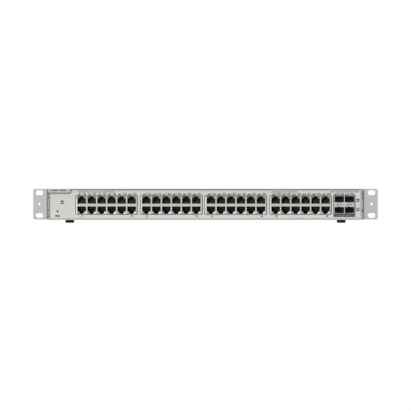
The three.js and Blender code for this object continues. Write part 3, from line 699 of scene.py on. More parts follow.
def rj45_shield(index):
    extent = SHIELDS[index]
    shield = Solid(FRONT_VIEW, (extent.x, 0, GANG_Z))
    left, right = SHIELD_REACH[index]
    half_height = GANG_Z - extent.bottom
    outline = soft_box(-left, -half_height, right, half_height, 0.9)
    inner = inset(outline, WALL)
    sheet_back = extent.front + 0.4
    mouth_depth = extent.front + FUNNEL
    levels = [(inset(outline, run), extent.front + drop) for run, drop in rounding(0.55, 3)]
    pairs = [shield.rings(*levels, (outline, extent.back), (inner, extent.back), (inner, sheet_back))]
    for column in COLUMNS:
        for row in (-1, 1):
            cell, mouth = port_funnel(shield, column, row, extent.front, mouth_depth, 0)
            back_cell, lip = port_funnel(shield, column, row, sheet_back, mouth_depth, 0.15)
            shield.wall(mouth, lip)
            pairs.append((cell, back_cell))
    shield.close(*pairs)
    replaced = [f"rj45_shield_{index + 1}"]
    shield.piece(f"port_shield_{index + 1}", "nickel_shield", replaced=replaced, smooth=20, bevel=0.1)


def rj45_housing(index):
    housing = Solid(FRONT_VIEW, (GANG_X[index], 0, GANG_Z))
    half_width = (HOUSING.right - HOUSING.left) / 2
    half_height = (HOUSING.top - HOUSING.bottom) / 2
    outline = soft_box(-half_width, -half_height, half_width, half_height, 0.4)
    front = SHIELDS[index].front + FUNNEL + 0.3
    pockets = [(port_mouth(column, row), 0.15, HOUSING.front + 15) for column in COLUMNS for row in (-1, 1)]
    housing.slab(outline, front, HOUSING.back, 0.2, pockets=pockets)
    housing.piece(f"port_housing_{index + 1}", "housing_black", replaced=[f"rj45_housing_{index + 1}"])


def port_light_guide(index):
    """A comb of pipes over one gang: an arrow tip in each window, a plate and a leg down to the board."""
    node = f"port_light_guide_{index + 1}"
    extent = span(node)
    plate_front, thickness, half = FACE + PANEL + 0.3, 1.6, 41
    low, high = ARROW_Z - thickness / 2, ARROW_Z + thickness / 2
    corners = [
        (plate_front, low), (extent.back - thickness, low), (extent.back - thickness, extent.bottom),
        (extent.back, extent.bottom), (extent.back, high), (plate_front, high),
    ]
    guide = Solid(SIDE_VIEW, (GANG_X[index], 0, 0))
    guide.slab(rounded(corners, [0.2, 1.2, 0.2, 0.2, 2.6, 0.2]), -half, half, 0.2)
    guide.place = Matrix.Translation((GANG_X[index], 0, 0)) @ FRONT_VIEW
    for x, direction in arrow_places():
        guide.slab(triangle(x, ARROW_Z, direction, 0.92), FACE + 0.05, plate_front + 0.1, 0.06)
    guide.piece(f"light_pipes_{index + 1}", "light_guide", replaced=[node])


def contact_outline(row):
    """The side view of one sprung contact: a flat foot by the mouth that rises towards the back."""
    front = HOUSING.front
    line = [(5.0, 2.2), (5.8, 2.6), (9.6, 5.9), (10.4, 6.3), (11.2, 6.1)]
    upper = [(front + y, z + 0.14) for y, z in line]
    lower = [(front + y, z - 0.14) for y, z in line]
    return [(y, z * row) for y, z in (lower + upper[::-1])][::row]


def rj45_contacts(index):
    contacts = Solid(SIDE_VIEW, (GANG_X[index], 0, GANG_Z))
    for column in COLUMNS:
        for row in (-1, 1):
            outline = contact_outline(row)
            for i in range(8):
                x = column + (i - 3.5) * CONTACT_PITCH
                contacts.slab(outline, x - 0.3, x + 0.3, edge=0)
    contacts.piece(f"port_contacts_{index + 1}", "gold_contact")


# SFP+ cage

def sfp_mouths():
    """The four slot mouths, each with the latch's small bay on its inner long side."""
    mouths = []
    for side in (-1, 1):
        for row in (-1, 1):
            x = side * SLOT_COLUMN
            bay = x - 0.7
            corners = [
                (x - SLOT_HALF, SLOT_INNER), (bay - 1.5, SLOT_INNER), (bay - 1.2, SLOT_INNER - 0.5),
                (bay + 1.2, SLOT_INNER - 0.5), (bay + 1.5, SLOT_INNER), (x + SLOT_HALF, SLOT_INNER),
                (x + SLOT_HALF, SLOT_OUTER), (x - SLOT_HALF, SLOT_OUTER),
            ]
            points = rounded(corners, [0.4, 0, 0, 0, 0, 0.4, 0.4, 0.4], 2)
            mouths.append([(u, v * row) for u, v in points][::row])
    return mouths


def sfp_cage():
    cage = Solid(FRONT_VIEW, (CAGE.x, 0, CAGE.z))
    half_width, half_height = CAGE.x - CAGE.left, CAGE.z - CAGE.bottom
    outline = soft_box(-half_width, -half_height, half_width, half_height, 0.8)
    inner = inset(outline, WALL)
    slot_back = CAGE.front + SLOT_DEPTH
    sheet_back = CAGE.front + 0.8
    levels = [(inset(outline, run), CAGE.front + drop) for run, drop in rounding(0.75, 3)]
    pairs = [cage.rings(*levels, (outline, CAGE.back), (inner, CAGE.back), (inner, sheet_back))]
    for mouth in sfp_mouths():
        lining = inset(mouth, -0.25)
        pairs.append(cage.rings(
            (inset(mouth, -0.2), CAGE.front), (mouth, CAGE.front + 0.2), (mouth, slot_back),
            (lining, slot_back), (lining, sheet_back),
        ))
    for x, direction in CAGE_ARROWS:
        arrow = triangle(x, 0, direction)
        pairs.append(cage.rings((arrow, CAGE.front), (arrow, sheet_back)))
    cage.close(*pairs)
    cage.piece("sfp_cage_shell", "nickel_shield", replaced=["sfp_cage"])


def painted_cage_shade_frame():
    """A dark frame between the cage and its window: painted shade that stands in for the shade round the
    cage's edges.
    """
    shade_frame = Solid(FRONT_VIEW)
    outer = rectangle(CAGE.left - 0.25, CAGE.bottom - 0.25, CAGE.right + 0.25, CAGE.top + 0.25)
    opening = rounded(inset(outer, 0.95), 0.3)
    shade_frame.slab(rounded(outer, 0.6), CAGE.front - 0.35, CAGE.front + 0.1, 0.1, holes=[(opening, 0.1)])
    shade_frame.piece("sfp_cage_painted_shade_frame", "band_ink_and_painted_shade")


def sfp_springs():
    """Rows of grounding fingers between the cage and its window, above and below."""
    springs = Solid(SIDE_VIEW, (CAGE.x, CAGE.front, 0))
    count = 11
    pitch = (CAGE.right - CAGE.left - 2) / count
    for edge, way in ((CAGE.top, 1), (CAGE.bottom, -1)):
        line = [(0.9, 0.05), (2.6, 0.22), (5.0, 0.28), (9.0, 0.1)]
        outline = [(y, edge + way * z) for y, z in line]
        outline += [(y, edge + way * (z - 0.12)) for y, z in line[::-1]]
        for i in range(count):
            x = (i - (count - 1) / 2) * pitch
            springs.slab(outline[::-way], x - pitch * 0.4, x + pitch * 0.4, edge=0)
    springs.piece("sfp_grounding_fingers", "nickel_shield")


# Sheet metal: the base and the ears are flat patterns with holes, then folded; the cover is built from flat
# plates

def side_vents():
    """Pairs of upright slots in the right side, as (y, z) outlines."""
    count, first, pitch, width = 12, -18, 8.5, 3.6
    slots = []
    for i in range(count):
        y = first + i * pitch
        for low, high in ((13, 24), (27.6, 38.6)):
            slots.append(soft_box(y, low, y + width, high, width / 2 - 0.01))
    return slots


def fan_grille(fan):
    """Rows of slots within a circle in front of a fan, split by an upright rib."""
    slot, pitch, rib, radius = 3.6, 6.2, 1.5, 18
    slots = []
    for row in range(-2, 3):
        low = MIDDLE + row * pitch - slot / 2
        reach = math.sqrt(radius ** 2 - (row * pitch) ** 2)
        for start, end in ((fan.y + rib, fan.y + reach), (fan.y - reach, fan.y - rib)):
            slots.append(soft_box(start, low, end, low + slot, slot / 2 - 0.01))
    return slots


def fan_screw_places(fan):
    return [(fan.y + dy, MIDDLE + dz) for dy in (-FAN_SCREW, FAN_SCREW) for dz in (-FAN_SCREW, FAN_SCREW)]


def ear_screw_places():
    first, last = span("ear_screw_right_1"), span("ear_screw_right_4")
    return [(y, z) for y in (first.y, last.y) for z in (first.z, last.z)]


def chassis_base():
    base = Solid()
    side_start = SIDE - FOLD
    back_start = BASE.back - FOLD
    arc = FOLD * math.pi / 2
    rise = BASE.top - BASE.bottom - FOLD
    side_end = side_start + arc + rise
    relief = side_start + 0.25
    flap = side_start + arc + 0.15
    right = [
        (side_end, BASE.back), (flap, BASE.back), (flap, back_start - 1), (relief, back_start - 1),
        (relief, back_start + arc + rise),
    ]
    front = BEZEL.back + 0.3
    outline = [(-side_end, front), (side_end, front), *right, *((-u, v) for u, v in reversed(right))]

    def on_side(points, sign):
        flat = [(sign * (side_start + arc + z - BASE.bottom - FOLD), y) for y, z in points]
        return flat if sign < 0 else flat[::-1]

    def on_back(points):
        return [(x, back_start + arc + z - BASE.bottom - FOLD) for x, z in points]

    holes = [on_side(slot, 1) for slot in side_vents()]
    for fan in FANS:
        holes += [on_side(slot, -1) for slot in fan_grille(fan)]
        holes += [on_side(circle(y, z, 1.7, 16), -1) for y, z in fan_screw_places(fan)]
    for sign in (-1, 1):
        holes += [on_side(circle(y, z, 2.0, 16), sign) for y, z in ear_screw_places()]
        holes += [on_side(circle(y, COVER_TAB_Z, 1.6, 16), sign) for y in COVER_SIDE_SCREW_Y]
    holes += [on_back(circle(x, COVER_TAB_Z, 1.5, 16)) for x in COVER_SCREW_X]
    ground = span("ground_screw")
    holes.append(on_back(circle(ground.x, ground.z, 2.2, 16)))
    holes.append(on_back(soft_box(INLET.x - 13.8, MIDDLE - 10, INLET.x + 13.8, MIDDLE + 10, 1.5)))
    for index in FEET:
        foot = span(f"rubber_foot_{index}")
        holes.append(circle(foot.x, foot.y, 2.4, 16))
    base.slab(outline, 0, SHEET, 0.15, holes=[(hole, 0.1) for hole in holes])
    side_lines = fold_lines(side_start, FOLD)
    base.cut_across(0, [sign * line for line in side_lines for sign in (-1, 1)])
    base.cut_across(1, fold_lines(back_start, FOLD))

    def folded(u, v, w):
        if abs(u) > relief + 0.1:
            reach, height = fold(abs(u), w, side_start, FOLD)
            return math.copysign(reach, u), v, BASE.bottom + height
        reach, height = fold(v, w, back_start, FOLD)
        return u, reach, BASE.bottom + height

    base.remap(folded)
    lip_front, lip_back = FACE + PANEL + 0.3, BEZEL.back + 12
    low = BEZEL.bottom + SKIRT + 0.3
    base.slab(soft_box(-150, lip_front, 150, lip_back, 0.5), low, low + SHEET, 0.15)
    for sign in (-1, 1):
        left, right = sorted((sign * (SIDE - SKIRT - 1.5), sign * (SIDE - SKIRT - 0.3)))
        base.slab(soft_box(left, lip_front, right, lip_back, 0.2), 12, 38, 0.15)
    base.piece("chassis_tray", "case_paint", replaced=["chassis_base"])


def top_cover():
    cover = Solid()
    plate = soft_box(COVER.left, BEZEL.back + 0.3, COVER.right, COVER.back, 0.6)
    cover.slab(plate, COVER.top - SHEET, COVER.top, 0.35)
    lip_top = COVER.top - SKIRT - 0.3
    cover.slab(rectangle(-170, FACE + PANEL + 0.3, 170, BEZEL.back + 14), lip_top - 1.2, lip_top, 0.15)
    inner = SIDE - SHEET - 0.3
    for sign in (-1, 1):
        for y in COVER_SIDE_SCREW_Y:
            reach = sorted((sign * inner, sign * (inner - SHEET)))
            tab = rectangle(reach[0], y - 11, reach[1], y + 11)
            cover.slab(tab, COVER_TAB_Z - 3, COVER.top - SHEET, 0.15)
    back = COVER.back - SHEET - 0.3
    for x in COVER_SCREW_X:
        cover.slab(rectangle(x - 7, back - SHEET, x + 7, back), COVER_TAB_Z - 3.5, COVER.top - SHEET, 0.15)
    cover.piece("cover_sheet", "case_paint", replaced=["top_cover"])


def rack_ear(side, sign):
    """Drawn flat from the outer edge (u = 0) to the flange's end, then folded back along the case. The bend
    is flat and raked."""
    ear = Solid()
    start = EAR.right - EAR.left - EAR_FOLD
    arc = EAR_FOLD * math.pi / 2
    end = start + arc + (EAR.back - EAR.front - EAR_FOLD - EAR_RAKE)
    outline = soft_box(0, EAR.bottom, end, EAR.top, [2.6, 4.0, 4.0, 2.6], 6)
    middle = EAR.right - EAR_SLOT_X
    half_length, half_width = EAR_SLOT_HALVES
    holes = [soft_box(middle - half_length, z - half_width, middle + half_length, z + half_width, 3.44, 8)
             for z in (EAR.z - EAR_SLOT_SPACING / 2, EAR.z + EAR_SLOT_SPACING / 2)]
    holes.append(circle(middle, EAR.z, EAR_HOLE))
    flange_start = start + arc - EAR.front - EAR_FOLD - EAR_RAKE
    holes += [circle(flange_start + y, z, 2.0) for y, z in ear_screw_places()]
    ear.slab(outline, 0, EAR_SHEET, 0.25, holes=[(hole, 0.2) for hole in holes])
    ear.cut_across(0, fold_lines(start, EAR_FOLD, 1))

    def folded(u, v, w):
        reach, depth = fold(u, w, start, EAR_FOLD)
        depth += EAR_RAKE * min(1.0, max(0.0, (u - start) / arc))
        return sign * (EAR.right - reach), EAR.front + depth, v

    ear.remap(folded)
    ear.piece(f"ear_plate_{side}", "ear_paint", replaced=[f"rack_ear_{side}"])


# Screws and feet

def cross_screw(name, head, height, shank, length, recess):
    """A pan head screw with a cross recess, its head towards +Z above zero."""
    screw, cutter = Solid(), Solid()
    angles = [math.pi / 2 * k / 6 for k in range(6)]
    curve = [(head * math.cos(a), height * (0.35 + 0.65 * math.sin(a))) for a in angles]
    profile = [(shank * 0.7, -length), (shank, -length + 0.6), (shank, 0), (head * 0.96, 0), (head, 0.12)]
    screw.turned(0, 0, [*profile, *curve, (head * 0.12, height)], 32)
    half = recess * 0.17
    quarter = [(half, half), (half, recess), (-half, recess)]
    quarter_turns = [Matrix.Rotation(math.pi / 2 * k, 2) for k in range(4)]
    cross = [turn @ Vector(point) for turn in quarter_turns for point in quarter]
    shallow = [(u * 0.45, v * 0.45) for u, v in cross]
    cutter.close(cutter.rings((shallow, height - recess * 0.75), (cross, height + 0.3)))
    body, tool = plain_object(screw), plain_object(cutter)
    boolean = body.modifiers.new("recess", "BOOLEAN")
    boolean.operation = "DIFFERENCE"
    boolean.solver = "EXACT"
    boolean.object = tool
    bpy.context.view_layer.update()
    data = bpy.data.meshes.new_from_object(body.evaluated_get(bpy.context.evaluated_depsgraph_get()))
    data.name = name
    data.transform(Matrix.Scale(MM, 4))
    data.shade_smooth()
    data.set_sharp_from_angle(angle=math.radians(32))
    for spent in (body, tool):
        bpy.data.objects.remove(spent)
    return data


def plain_object(solid):
    bmesh.ops.recalc_face_normals(solid.mesh, faces=solid.mesh.faces)
    data = bpy.data.meshes.new("scratch")
    solid.mesh.to_mesh(data)
    solid.mesh.free()
    return link("scratch", data)


# Head radius and height, shank radius and length, reach of the recess
SCREWS = {
    "ear": (3.6, 1.7, 1.7, 7, 1.9), "small": (2.8, 1.7, 1.2, 6, 1.5), "panel": (2.7, 1.3, 1.4, 5, 1.4),
    "ground": (4.0, 2.6, 1.9, 7, 2.1),
}
SIDES = (("left", -1), ("right", 1))
FACING = {
    "left": Matrix.Rotation(-math.pi / 2, 4, "Y"), "right": Matrix.Rotation(math.pi / 2, 4, "Y"),
    "back": Matrix.Rotation(-math.pi / 2, 4, "X"), "up": Matrix.Identity(4),
}


def set_screw(name, data, place, facing, turn, replaced):
    spin = Matrix.Rotation(math.radians(turn), 4, "Z")
    matrix = Matrix.Translation(Vector(place) * MM) @ FACING[facing] @ spin
    add_piece(name, data, "screw_steel", replaced=replaced, matrix=matrix)


def screw_places():
    """(name, kind, place, facing, replaced nodes) of each screw that is left at a random turn."""
    for side, sign in SIDES:
        for i, (y, z) in enumerate(ear_screw_places()):
            node = f"ear_screw_{side}_{i + 1}"
            yield f"{node}_cross", "ear", (sign * (EAR.left + EAR_SHEET + 0.05), y, z), side, [node]
        for i, y in enumerate(COVER_SIDE_SCREW_Y):
            yield f"cover_side_screw_{side}_{i + 1}", "panel", (sign * SIDE, y, COVER_TAB_Z), side, []
    for i, x in enumerate(COVER_SCREW_X):
        node = f"cover_screw_{i + 1}"
        yield f"{node}_cross", "small", (x, BASE.back, COVER_TAB_Z), "back", [node]
    for i, fan in enumerate(FANS):
        for k, (y, z) in enumerate(fan_screw_places(fan)):
            yield f"fan_{i + 1}_screw_{k + 1}", "panel", (-SIDE, y, z), "left", []
    for i, shift in enumerate((-INLET_SCREW, INLET_SCREW)):
        yield f"inlet_screw_{i + 1}", "panel", (INLET.x + shift, INLET.back, MIDDLE), "back", []
    for i, (x, y) in enumerate(BOARD_SCREWS):
        yield f"board_screw_{i + 1}", "small", (x, y, BOARD_TOP), "up", []


def all_screws():
    kinds = {name: cross_screw(f"{name}_screw", *sizes) for name, sizes in SCREWS.items()}
    turns = random.Random(7)
    for name, kind, place, facing, replaced in screw_places():
        set_screw(name, kinds[kind], place, facing, turns.uniform(0, 90), replaced)
    screw = span("ground_screw")
    place = (screw.x, BASE.back + 0.3, screw.z)
    set_screw("ground_screw_cross", kinds["ground"], place, "back", 30, ["ground_screw"])
    washer = Solid(FRONT_VIEW)
    hole = circle(screw.x, screw.z, 2.1)
    washer.slab(circle(screw.x, screw.z, 4.6, 32), BASE.back, BASE.back + 0.35, 0.1, holes=[(hole, 0.05)])
    washer.piece("ground_washer", "screw_steel")


def rubber_foot(index):
    foot = span(f"rubber_foot_{index}")
    top = BASE.bottom - 0.05
    inside = BASE.bottom + SHEET
    body = Solid()
    body.turned(foot.x, foot.y, [
        (2.2, 1.2), (2.6, 0.5), (4.2, 0.15), (5.2, 0.0), (5.65, 0.1), (5.9, 0.45), (6.3, top - 0.5),
        (6.35, top - 0.15), (6.2, top), (2.0, top), (2.0, inside + 0.1), (2.7, inside + 0.4),
        (1.8, foot.top), (0.3, foot.top),
    ], 40)
    body.piece(f"foot_{index}", "rubber", replaced=[f"rubber_foot_{index}"])


# Rear inlet

def ac_inlet():
    inlet = Solid(FRONT_VIEW, (INLET.x, 0, MIDDLE))
    wall, back = BASE.back, INLET.back
    flange = [(-25, -6), (-18, -11.2), (18, -11.2), (25, -6), (25, 6), (18, 11.2), (-18, 11.2), (-25, 6)]
    mouth = [(-12.1, -8.2), (12.1, -8.2), (12.1, 3.6), (7.5, 8.2), (-7.5, 8.2), (-12.1, 3.6)]
    outer, mouth = rounded(flange, 1.5), rounded(mouth, 0.8)
    edge = rounding(0.5)
    near, far = inlet.rings(*((inset(outer, run), back - drop) for run, drop in edge), (outer, wall + 0.1))
    start, end = inlet.rings(*((inset(mouth, -run), back - drop) for run, drop in edge), (mouth, back - 17))
    screw_holes = [circle(shift, 0, 1.8) for shift in (-INLET_SCREW, INLET_SCREW)]
    holes = [inlet.rings((hole, back), (hole, wall + 0.1)) for hole in screw_holes]
    inlet.face(near, start, *(hole[0] for hole in holes))
    inlet.face(end)
    body = soft_box(-13.5, -9.7, 13.5, 9.7, 1.0)
    root, cap = inlet.rings((body, wall + 0.1), (body, wall - 19.7), (inset(body, 0.3), wall - 20))
    inlet.face(far, root, *(hole[1] for hole in holes))
    inlet.face(cap)
    inlet.piece("inlet_moulding", "black_plastic", replaced=["ac_inlet"])
    blade = soft_box(-1, -2, 1, 2, 0.35)
    for name, x, z in (("live", 7, -2), ("neutral", -7, -2), ("earth", 0, 2)):
        pin = Solid(FRONT_VIEW, (INLET.x + x, 0, MIDDLE + z))
        pin.close(pin.rings(
            (inset(blade, 0.45), wall - 1.2), (inset(blade, 0.1), wall - 2.4), (blade, wall - 4),
            (blade, wall - 17.5), (inset(blade, 0.3), wall - 24),
        ))
        pin.piece(f"pin_{name}", "pin_brass", replaced=[f"inlet_pin_{name}"])


def rear_marks():
    """The earth symbol by the ground screw and a blank rating plate."""
    x, z = 106, 16
    wall = BASE.back
    earth = [bar(x - half, x + half, z - drop, 0.5) for half, drop in ((2.2, 0), (1.4, 1.2), (0.6, 2.4))]
    earth.append(soft_box(x - 0.25, z + 0.2, x + 0.25, z + 2.6, 0.1))
    plates("earth_symbol", "print_ink", earth, wall - 0.02, wall + 0.04, view=FRONT_VIEW)
    plate = soft_box(-150, 12, -60, 34, 1.5)
    plates("blank_rating_plate", "label", [plate], wall - 0.02, wall + 0.08, view=FRONT_VIEW)
    lines = [bar(-146, right, 30 - 4 * i, 1.1) for i, right in enumerate((-100, -84, -92, -108))]
    plates("rating_plate_bars", "pale_ink", lines, wall + 0.06, wall + 0.12, view=FRONT_VIEW)


# Fans

def fan_frame(index, fan):
    start = fan.left
    housing = Solid(SIDE_VIEW, (0, fan.y, MIDDLE))
    outline = soft_box(-20, -20, 20, 20, 2.6, 5)
    bore = [(18.95, 0.0), (18.4, 1.2), (18.2, 4), (18.2, 15), (18.5, 18), (19.4, 20)]
    pairs = [
        housing.rings(*soft_side(outline, start, fan.right, 0.4, 1)),
        housing.rings(*((circle(0, 0, radius, 48), start + depth) for radius, depth in bore)),
    ]
    for u in (-FAN_SCREW, FAN_SCREW):
        for v in (-FAN_SCREW, FAN_SCREW):
            hole = circle(u, v, 1.8, 16)
            pairs.append(housing.rings((hole, start), (hole, fan.right)))
    housing.close(*pairs)
    strut = soft_box(10.5, -1.4, 18.7, 1.4, 0.2)
    for k in range(4):
        turn = Matrix.Rotation(math.radians(45 + 90 * k), 2)
        housing.slab([turn @ Vector(point) for point in strut], start + 0.3, start + 2.3, 0.3)
    seat = [(10.4, 0), (11, 0.4), (11, 2.1), (10.7, 2.4), (6, 2.4), (6, 12.6), (5.6, 13)]
    housing.turned(0, 0, [(radius, start + depth) for radius, depth in seat], 40)
    housing.piece(f"fan_{index}_housing", "fan_plastic", replaced=[f"fan_frame_{index}"])
    plates(f"fan_{index}_blank_label", "label", [circle(0, 0, 9.4, 40)], start - 0.06, start + 0.02,
           view=SIDE_VIEW, origin=(0, fan.y, MIDDLE))


def blade_section(share, turn):
    """One section of a blade as (y, z, depth) points; share goes from 0 at the hub to 1 at the tip."""
    count = 6
    radius = 11.2 + 6.7 * share
    pitch = math.radians(48 - 16 * share)
    chord = 12.5 + 1.5 * share
    sweep = math.radians(-10 * share) + turn
    section = []
    for way in (1, -1):
        for t in [k / (count - 1) for k in range(count)][::way]:
            along = (t - 0.5) * chord
            rise = 1.1 * (1 - (2 * t - 1) ** 2) + way * (0.12 + 0.45 * math.sqrt(t * (1 - t)))
            angle = sweep + (along * math.cos(pitch) - rise * math.sin(pitch)) / radius
            depth = along * math.sin(pitch) + rise * math.cos(pitch)
            section.append((radius * math.cos(angle), radius * math.sin(angle), depth))
    return section


def fan_rotor(index, fan):
    """A hub with seven twisted, swept blades; the blades leave the hub steep and flatten towards the tip."""
    rotor = Solid(SIDE_VIEW, (0, fan.y, MIDDLE))
    hub = [
        (10.4, 3), (11.2, 3), (11.5, 3.4), (11.5, 15.2), (11.1, 15.8), (10.4, 16), (0.4, 16), (0.4, 14.9),
        (1.5, 14.9), (1.5, 3.6), (2.0, 3.6), (2.0, 14.6), (10.4, 14.6),
    ]
    rotor.turned_ring(0, 0, [(radius, fan.left + depth) for radius, depth in hub], 40)
    middle = fan.left + 9.5
    blades, stations = 7, 6
    for blade in range(blades):
        sections = []
        for i in range(stations):
            points = blade_section(i / (stations - 1), 2 * math.pi * blade / blades)
            places = [rotor.place @ Vector((u, v, middle + w)) for u, v, w in points]
            sections.append([rotor.mesh.verts.new(place) for place in places])
        for inner, outer in zip(sections, sections[1:]):
            rotor.wall(inner, outer)
        rotor.close((sections[0], sections[-1]))
    body = f"fan_rotor_{index}"
    rotor.piece(f"fan_{index}_impeller", "fan_plastic", body=body, replaced=[body])


def lead(name, points, diameter):
    """A round lead through the points, fixed in the case at both ends."""
    curve = bpy.data.curves.new(name, "CURVE")
    curve.dimensions = "3D"
    curve.bevel_depth = diameter / 2 * MM
    curve.bevel_resolution = 3
    curve.use_fill_caps = True
    spline = curve.splines.new("NURBS")
    spline.points.add(len(points) - 1)
    for target, point in zip(spline.points, points):
        target.co = (*(Vector(point) * MM), 1)
    spline.use_endpoint_u = True
    spline.order_u = 3
    spline.resolution_u = 8
    curve.materials.append(FINISHES["lead_sleeve"])
    made = link(name, curve)
    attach(made, "chassis")


def fan_leads():
    for index, fan in enumerate(FANS):
        plug_y = fan.y - 17
        for k in range(2):
            y = 1.5 * k
            x, start_y, z = fan.right - 3, fan.y - 14 + y, 6.6
            points = [(x, start_y, z), (x + 5, start_y, z), (x + 9, start_y, z + 3)]
            points += [(-186, plug_y + y, BOARD_TOP + 9), (-181, plug_y + y, BOARD_TOP + 9)]
            lead(f"fan_{index + 1}_lead_{k + 1}", [*points, (-181, plug_y + y, BOARD_TOP + 5)], 1.2)
        plug = soft_box(-184, plug_y - 3, -178, plug_y + 5, 0.4)
        plates(f"fan_{index + 1}_plug", "label", [plug], BOARD_TOP + 0.1, BOARD_TOP + 6, 0.3)


# What is on the boards

def board_chips():
    """Square packages with rows of gull legs, between the port gangs and the heatsinks."""
    chips, legs = Solid(), Solid()
    pitch, half_leg = 0.9, 0.17
    for x, y, half in CHIPS:
        package = soft_box(x - half, y - half, x + half, y + half, 0.3)
        chips.slab(package, BOARD_TOP + 0.15, BOARD_TOP + 1.5, 0.12)
        count = int(half * 2 / pitch)
        for k in range(count):
            along = (k - (count - 1) / 2) * pitch
            low, high = along - half_leg, along + half_leg
            for sign in (-1, 1):
                near, far = sorted((sign * (half - 0.1), sign * (half + 1.1)))
                for leg in (x + near, y + low, x + far, y + high), (x + low, y + near, x + high, y + far):
                    legs.slab(rectangle(*leg), BOARD_TOP, BOARD_TOP + 0.4, 0)
    chips.piece("board_chips", "chip_black")
    legs.piece("board_chip_legs", "screw_steel")


def small_parts():
    """Resistors and capacitors scattered over the main board, clear of the heatsinks."""
    draws = random.Random(11)
    bodies, ends = [], []
    for _ in range(150):
        x, y = draws.uniform(-185, 70), draws.uniform(-38, 56)
        if abs(x + 20) < 34 and abs(y + 8) < 29:
            continue
        length, width = draws.choice(((1.6, 0.8), (2.0, 1.2), (3.2, 1.6)))
        upright = draws.random() < 0.5
        half_x, half_y = (width / 2, length / 2) if upright else (length / 2, width / 2)
        bodies.append(rectangle(x - half_x, y - half_y, x + half_x, y + half_y))
        end_x, end_y = (half_x + 0.05, 0.2) if upright else (0.2, half_y + 0.05)
        for sign in (-1, 1):
            cx, cy = (x, y + sign * half_y) if upright else (x + sign * half_x, y)
            ends.append(rectangle(cx - end_x, cy - end_y, cx + end_x, cy + end_y))
    plates("board_small_parts", "chip_black", bodies, BOARD_TOP, BOARD_TOP + 0.7, 0.05)
    plates("board_small_ends", "screw_steel", ends, BOARD_TOP, BOARD_TOP + 0.75)


def can_capacitors():
    cans = Solid()
    profile = [
        (3.6, 0), (3.9, 0.2), (3.9, 0.9), (3.7, 1.2), (3.9, 1.5), (3.9, 10.2), (3.6, 10.6), (3.2, 10.5),
    ]
    for x, y in CAN_PLACES:
        cans.turned(x, y, [(radius, BOARD_TOP + height) for radius, height in profile], 28)
    cans.piece("board_cans", "aluminium")


def supply_parts():
    """A film capacitor, two rectifiers and two chokes on the supply board."""
    base = BOARD_TOP
    plates("supply_film_capacitor", "transformer", [soft_box(150, 62, 168, 72, 0.8)], base, base + 14, 0.6)
    black = Solid()
    black.slab(soft_box(172, 74, 188, 78, 0.5), base + 3, base + 15, 0.4)
    black.slab(soft_box(128, 22.4, 138, 24.4, 0.3), base + 3, base + 17, 0.3)
    black.piece("supply_rectifiers", "chip_black")
    cores, windings = Solid(), Solid()
    angles = [2 * math.pi * k / 12 for k in range(12)]
    section = [(CHOKE_RADIUS + 2.6 * math.cos(a), base + 4.5 + 4 * math.sin(a)) for a in angles]
    turns = 16
    # Reach, half width, low and high of the wire below the core, above it, and through and round it
    runs = [(3.08, 0.48, 0.1, 0.5), (3.08, 0.48, 8.4, 8.9), (2.7, 0.5, 0.4, 8.5)]
    for x, y in CHOKE_PLACES:
        cores.turned_ring(x, y, section, 36)
        for k in range(turns):
            turn = Matrix.Rotation(2 * math.pi * k / turns, 2)
            for reach, half, low, high in runs:
                wire = rectangle(CHOKE_RADIUS - reach, -half, CHOKE_RADIUS + reach, half)
                outline = [Vector((x, y)) + turn @ Vector(point) for point in wire]
                windings.slab(outline, base + low, base + high, 0.1)
    cores.piece("supply_chokes", "ferrite")
    windings.piece("supply_choke_windings", "gold_contact")


def transformer():
    """E cores round a taped winding on its bobbin."""
    node = span("supply_transformer")
    base, top = node.bottom, node.top
    core = Solid(FRONT_VIEW, (node.x, node.y, 0))
    window = soft_box(-10, base + 5, 10, top - 5, 0.6)
    core.slab(soft_box(-15, base, 15, top, 0.8), -9, 9, 0.3, holes=[(window, 0.2)])
    core.piece("transformer_core", "ferrite", replaced=["supply_transformer"])
    middle = (node.x, node.y, 0)
    winding = soft_box(-9.7, -12.8, 9.7, 12.8, 3.5, 6)
    plates("transformer_winding", "transformer", [winding], base + 6.4, top - 6.4, 0.3, origin=middle)
    flange = soft_box(-9.8, -13, 9.8, 13, 2.5, 6)
    bobbin = Solid(origin=middle)
    bobbin.slab(flange, base + 5.1, base + 6.4, 0.2)
    bobbin.slab(flange, top - 6.4, top - 5.1, 0.2)
    bobbin.piece("transformer_bobbin", "black_plastic")


def capacitor():
    node = span("supply_capacitor")
    base, top = node.bottom, node.top
    radius = (node.right - node.left) / 2
    sleeve = Solid()
    sleeve.turned(node.x, node.y, [
        (radius - 0.8, base), (radius, base + 0.6), (radius, base + 2.2), (radius - 0.7, base + 3.0),
        (radius, base + 3.8), (radius, top - 0.7), (radius - 0.6, top - 0.1), (radius - 1.6, top - 0.1),
    ], 40)
    sleeve.piece("capacitor_sleeve", "capacitor_sleeve", replaced=["supply_capacitor"])
    plates("capacitor_end", "aluminium", [circle(node.x, node.y, radius - 1.7, 40)], top - 0.1, top - 0.02)


def dress(node, finish, edge):
    """A CAD node that stays as it is, with softened edges and a proper finish."""
    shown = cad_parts[node]
    shown.data.materials.clear()
    shown.data.materials.append(FINISHES[finish])
    weld = shown.modifiers.new("weld", "WELD")
    weld.merge_threshold = 0.01 * MM
    flat = shown.modifiers.new("flat", "DECIMATE")
    flat.decimate_type = "DISSOLVE"
    flat.angle_limit = math.radians(1)
    soften(shown, edge)


DRESSED = {
    ("circuit_board", 0.1): ["main_board", "supply_board"],
    ("chip_black", 0.2): ["switch_chip"],
    ("aluminium", 0.2): ["main_heatsink", "port_chip_heatsink_1", "port_chip_heatsink_2", "supply_heatsink"],
    ("insulator_film", 0.1): ["supply_insulator"],
    ("lead_sleeve", 0.1): ["dc_harness", "mains_leads"],
    ("black_plastic", 0.15): ["sfp_connector_1", "sfp_connector_2", "reset_button"],
    ("light_guide", 0.1): ["sfp_light_guide", "status_light_guide"],
    ("screw_steel", 0.15): ["reset_switch"],
}


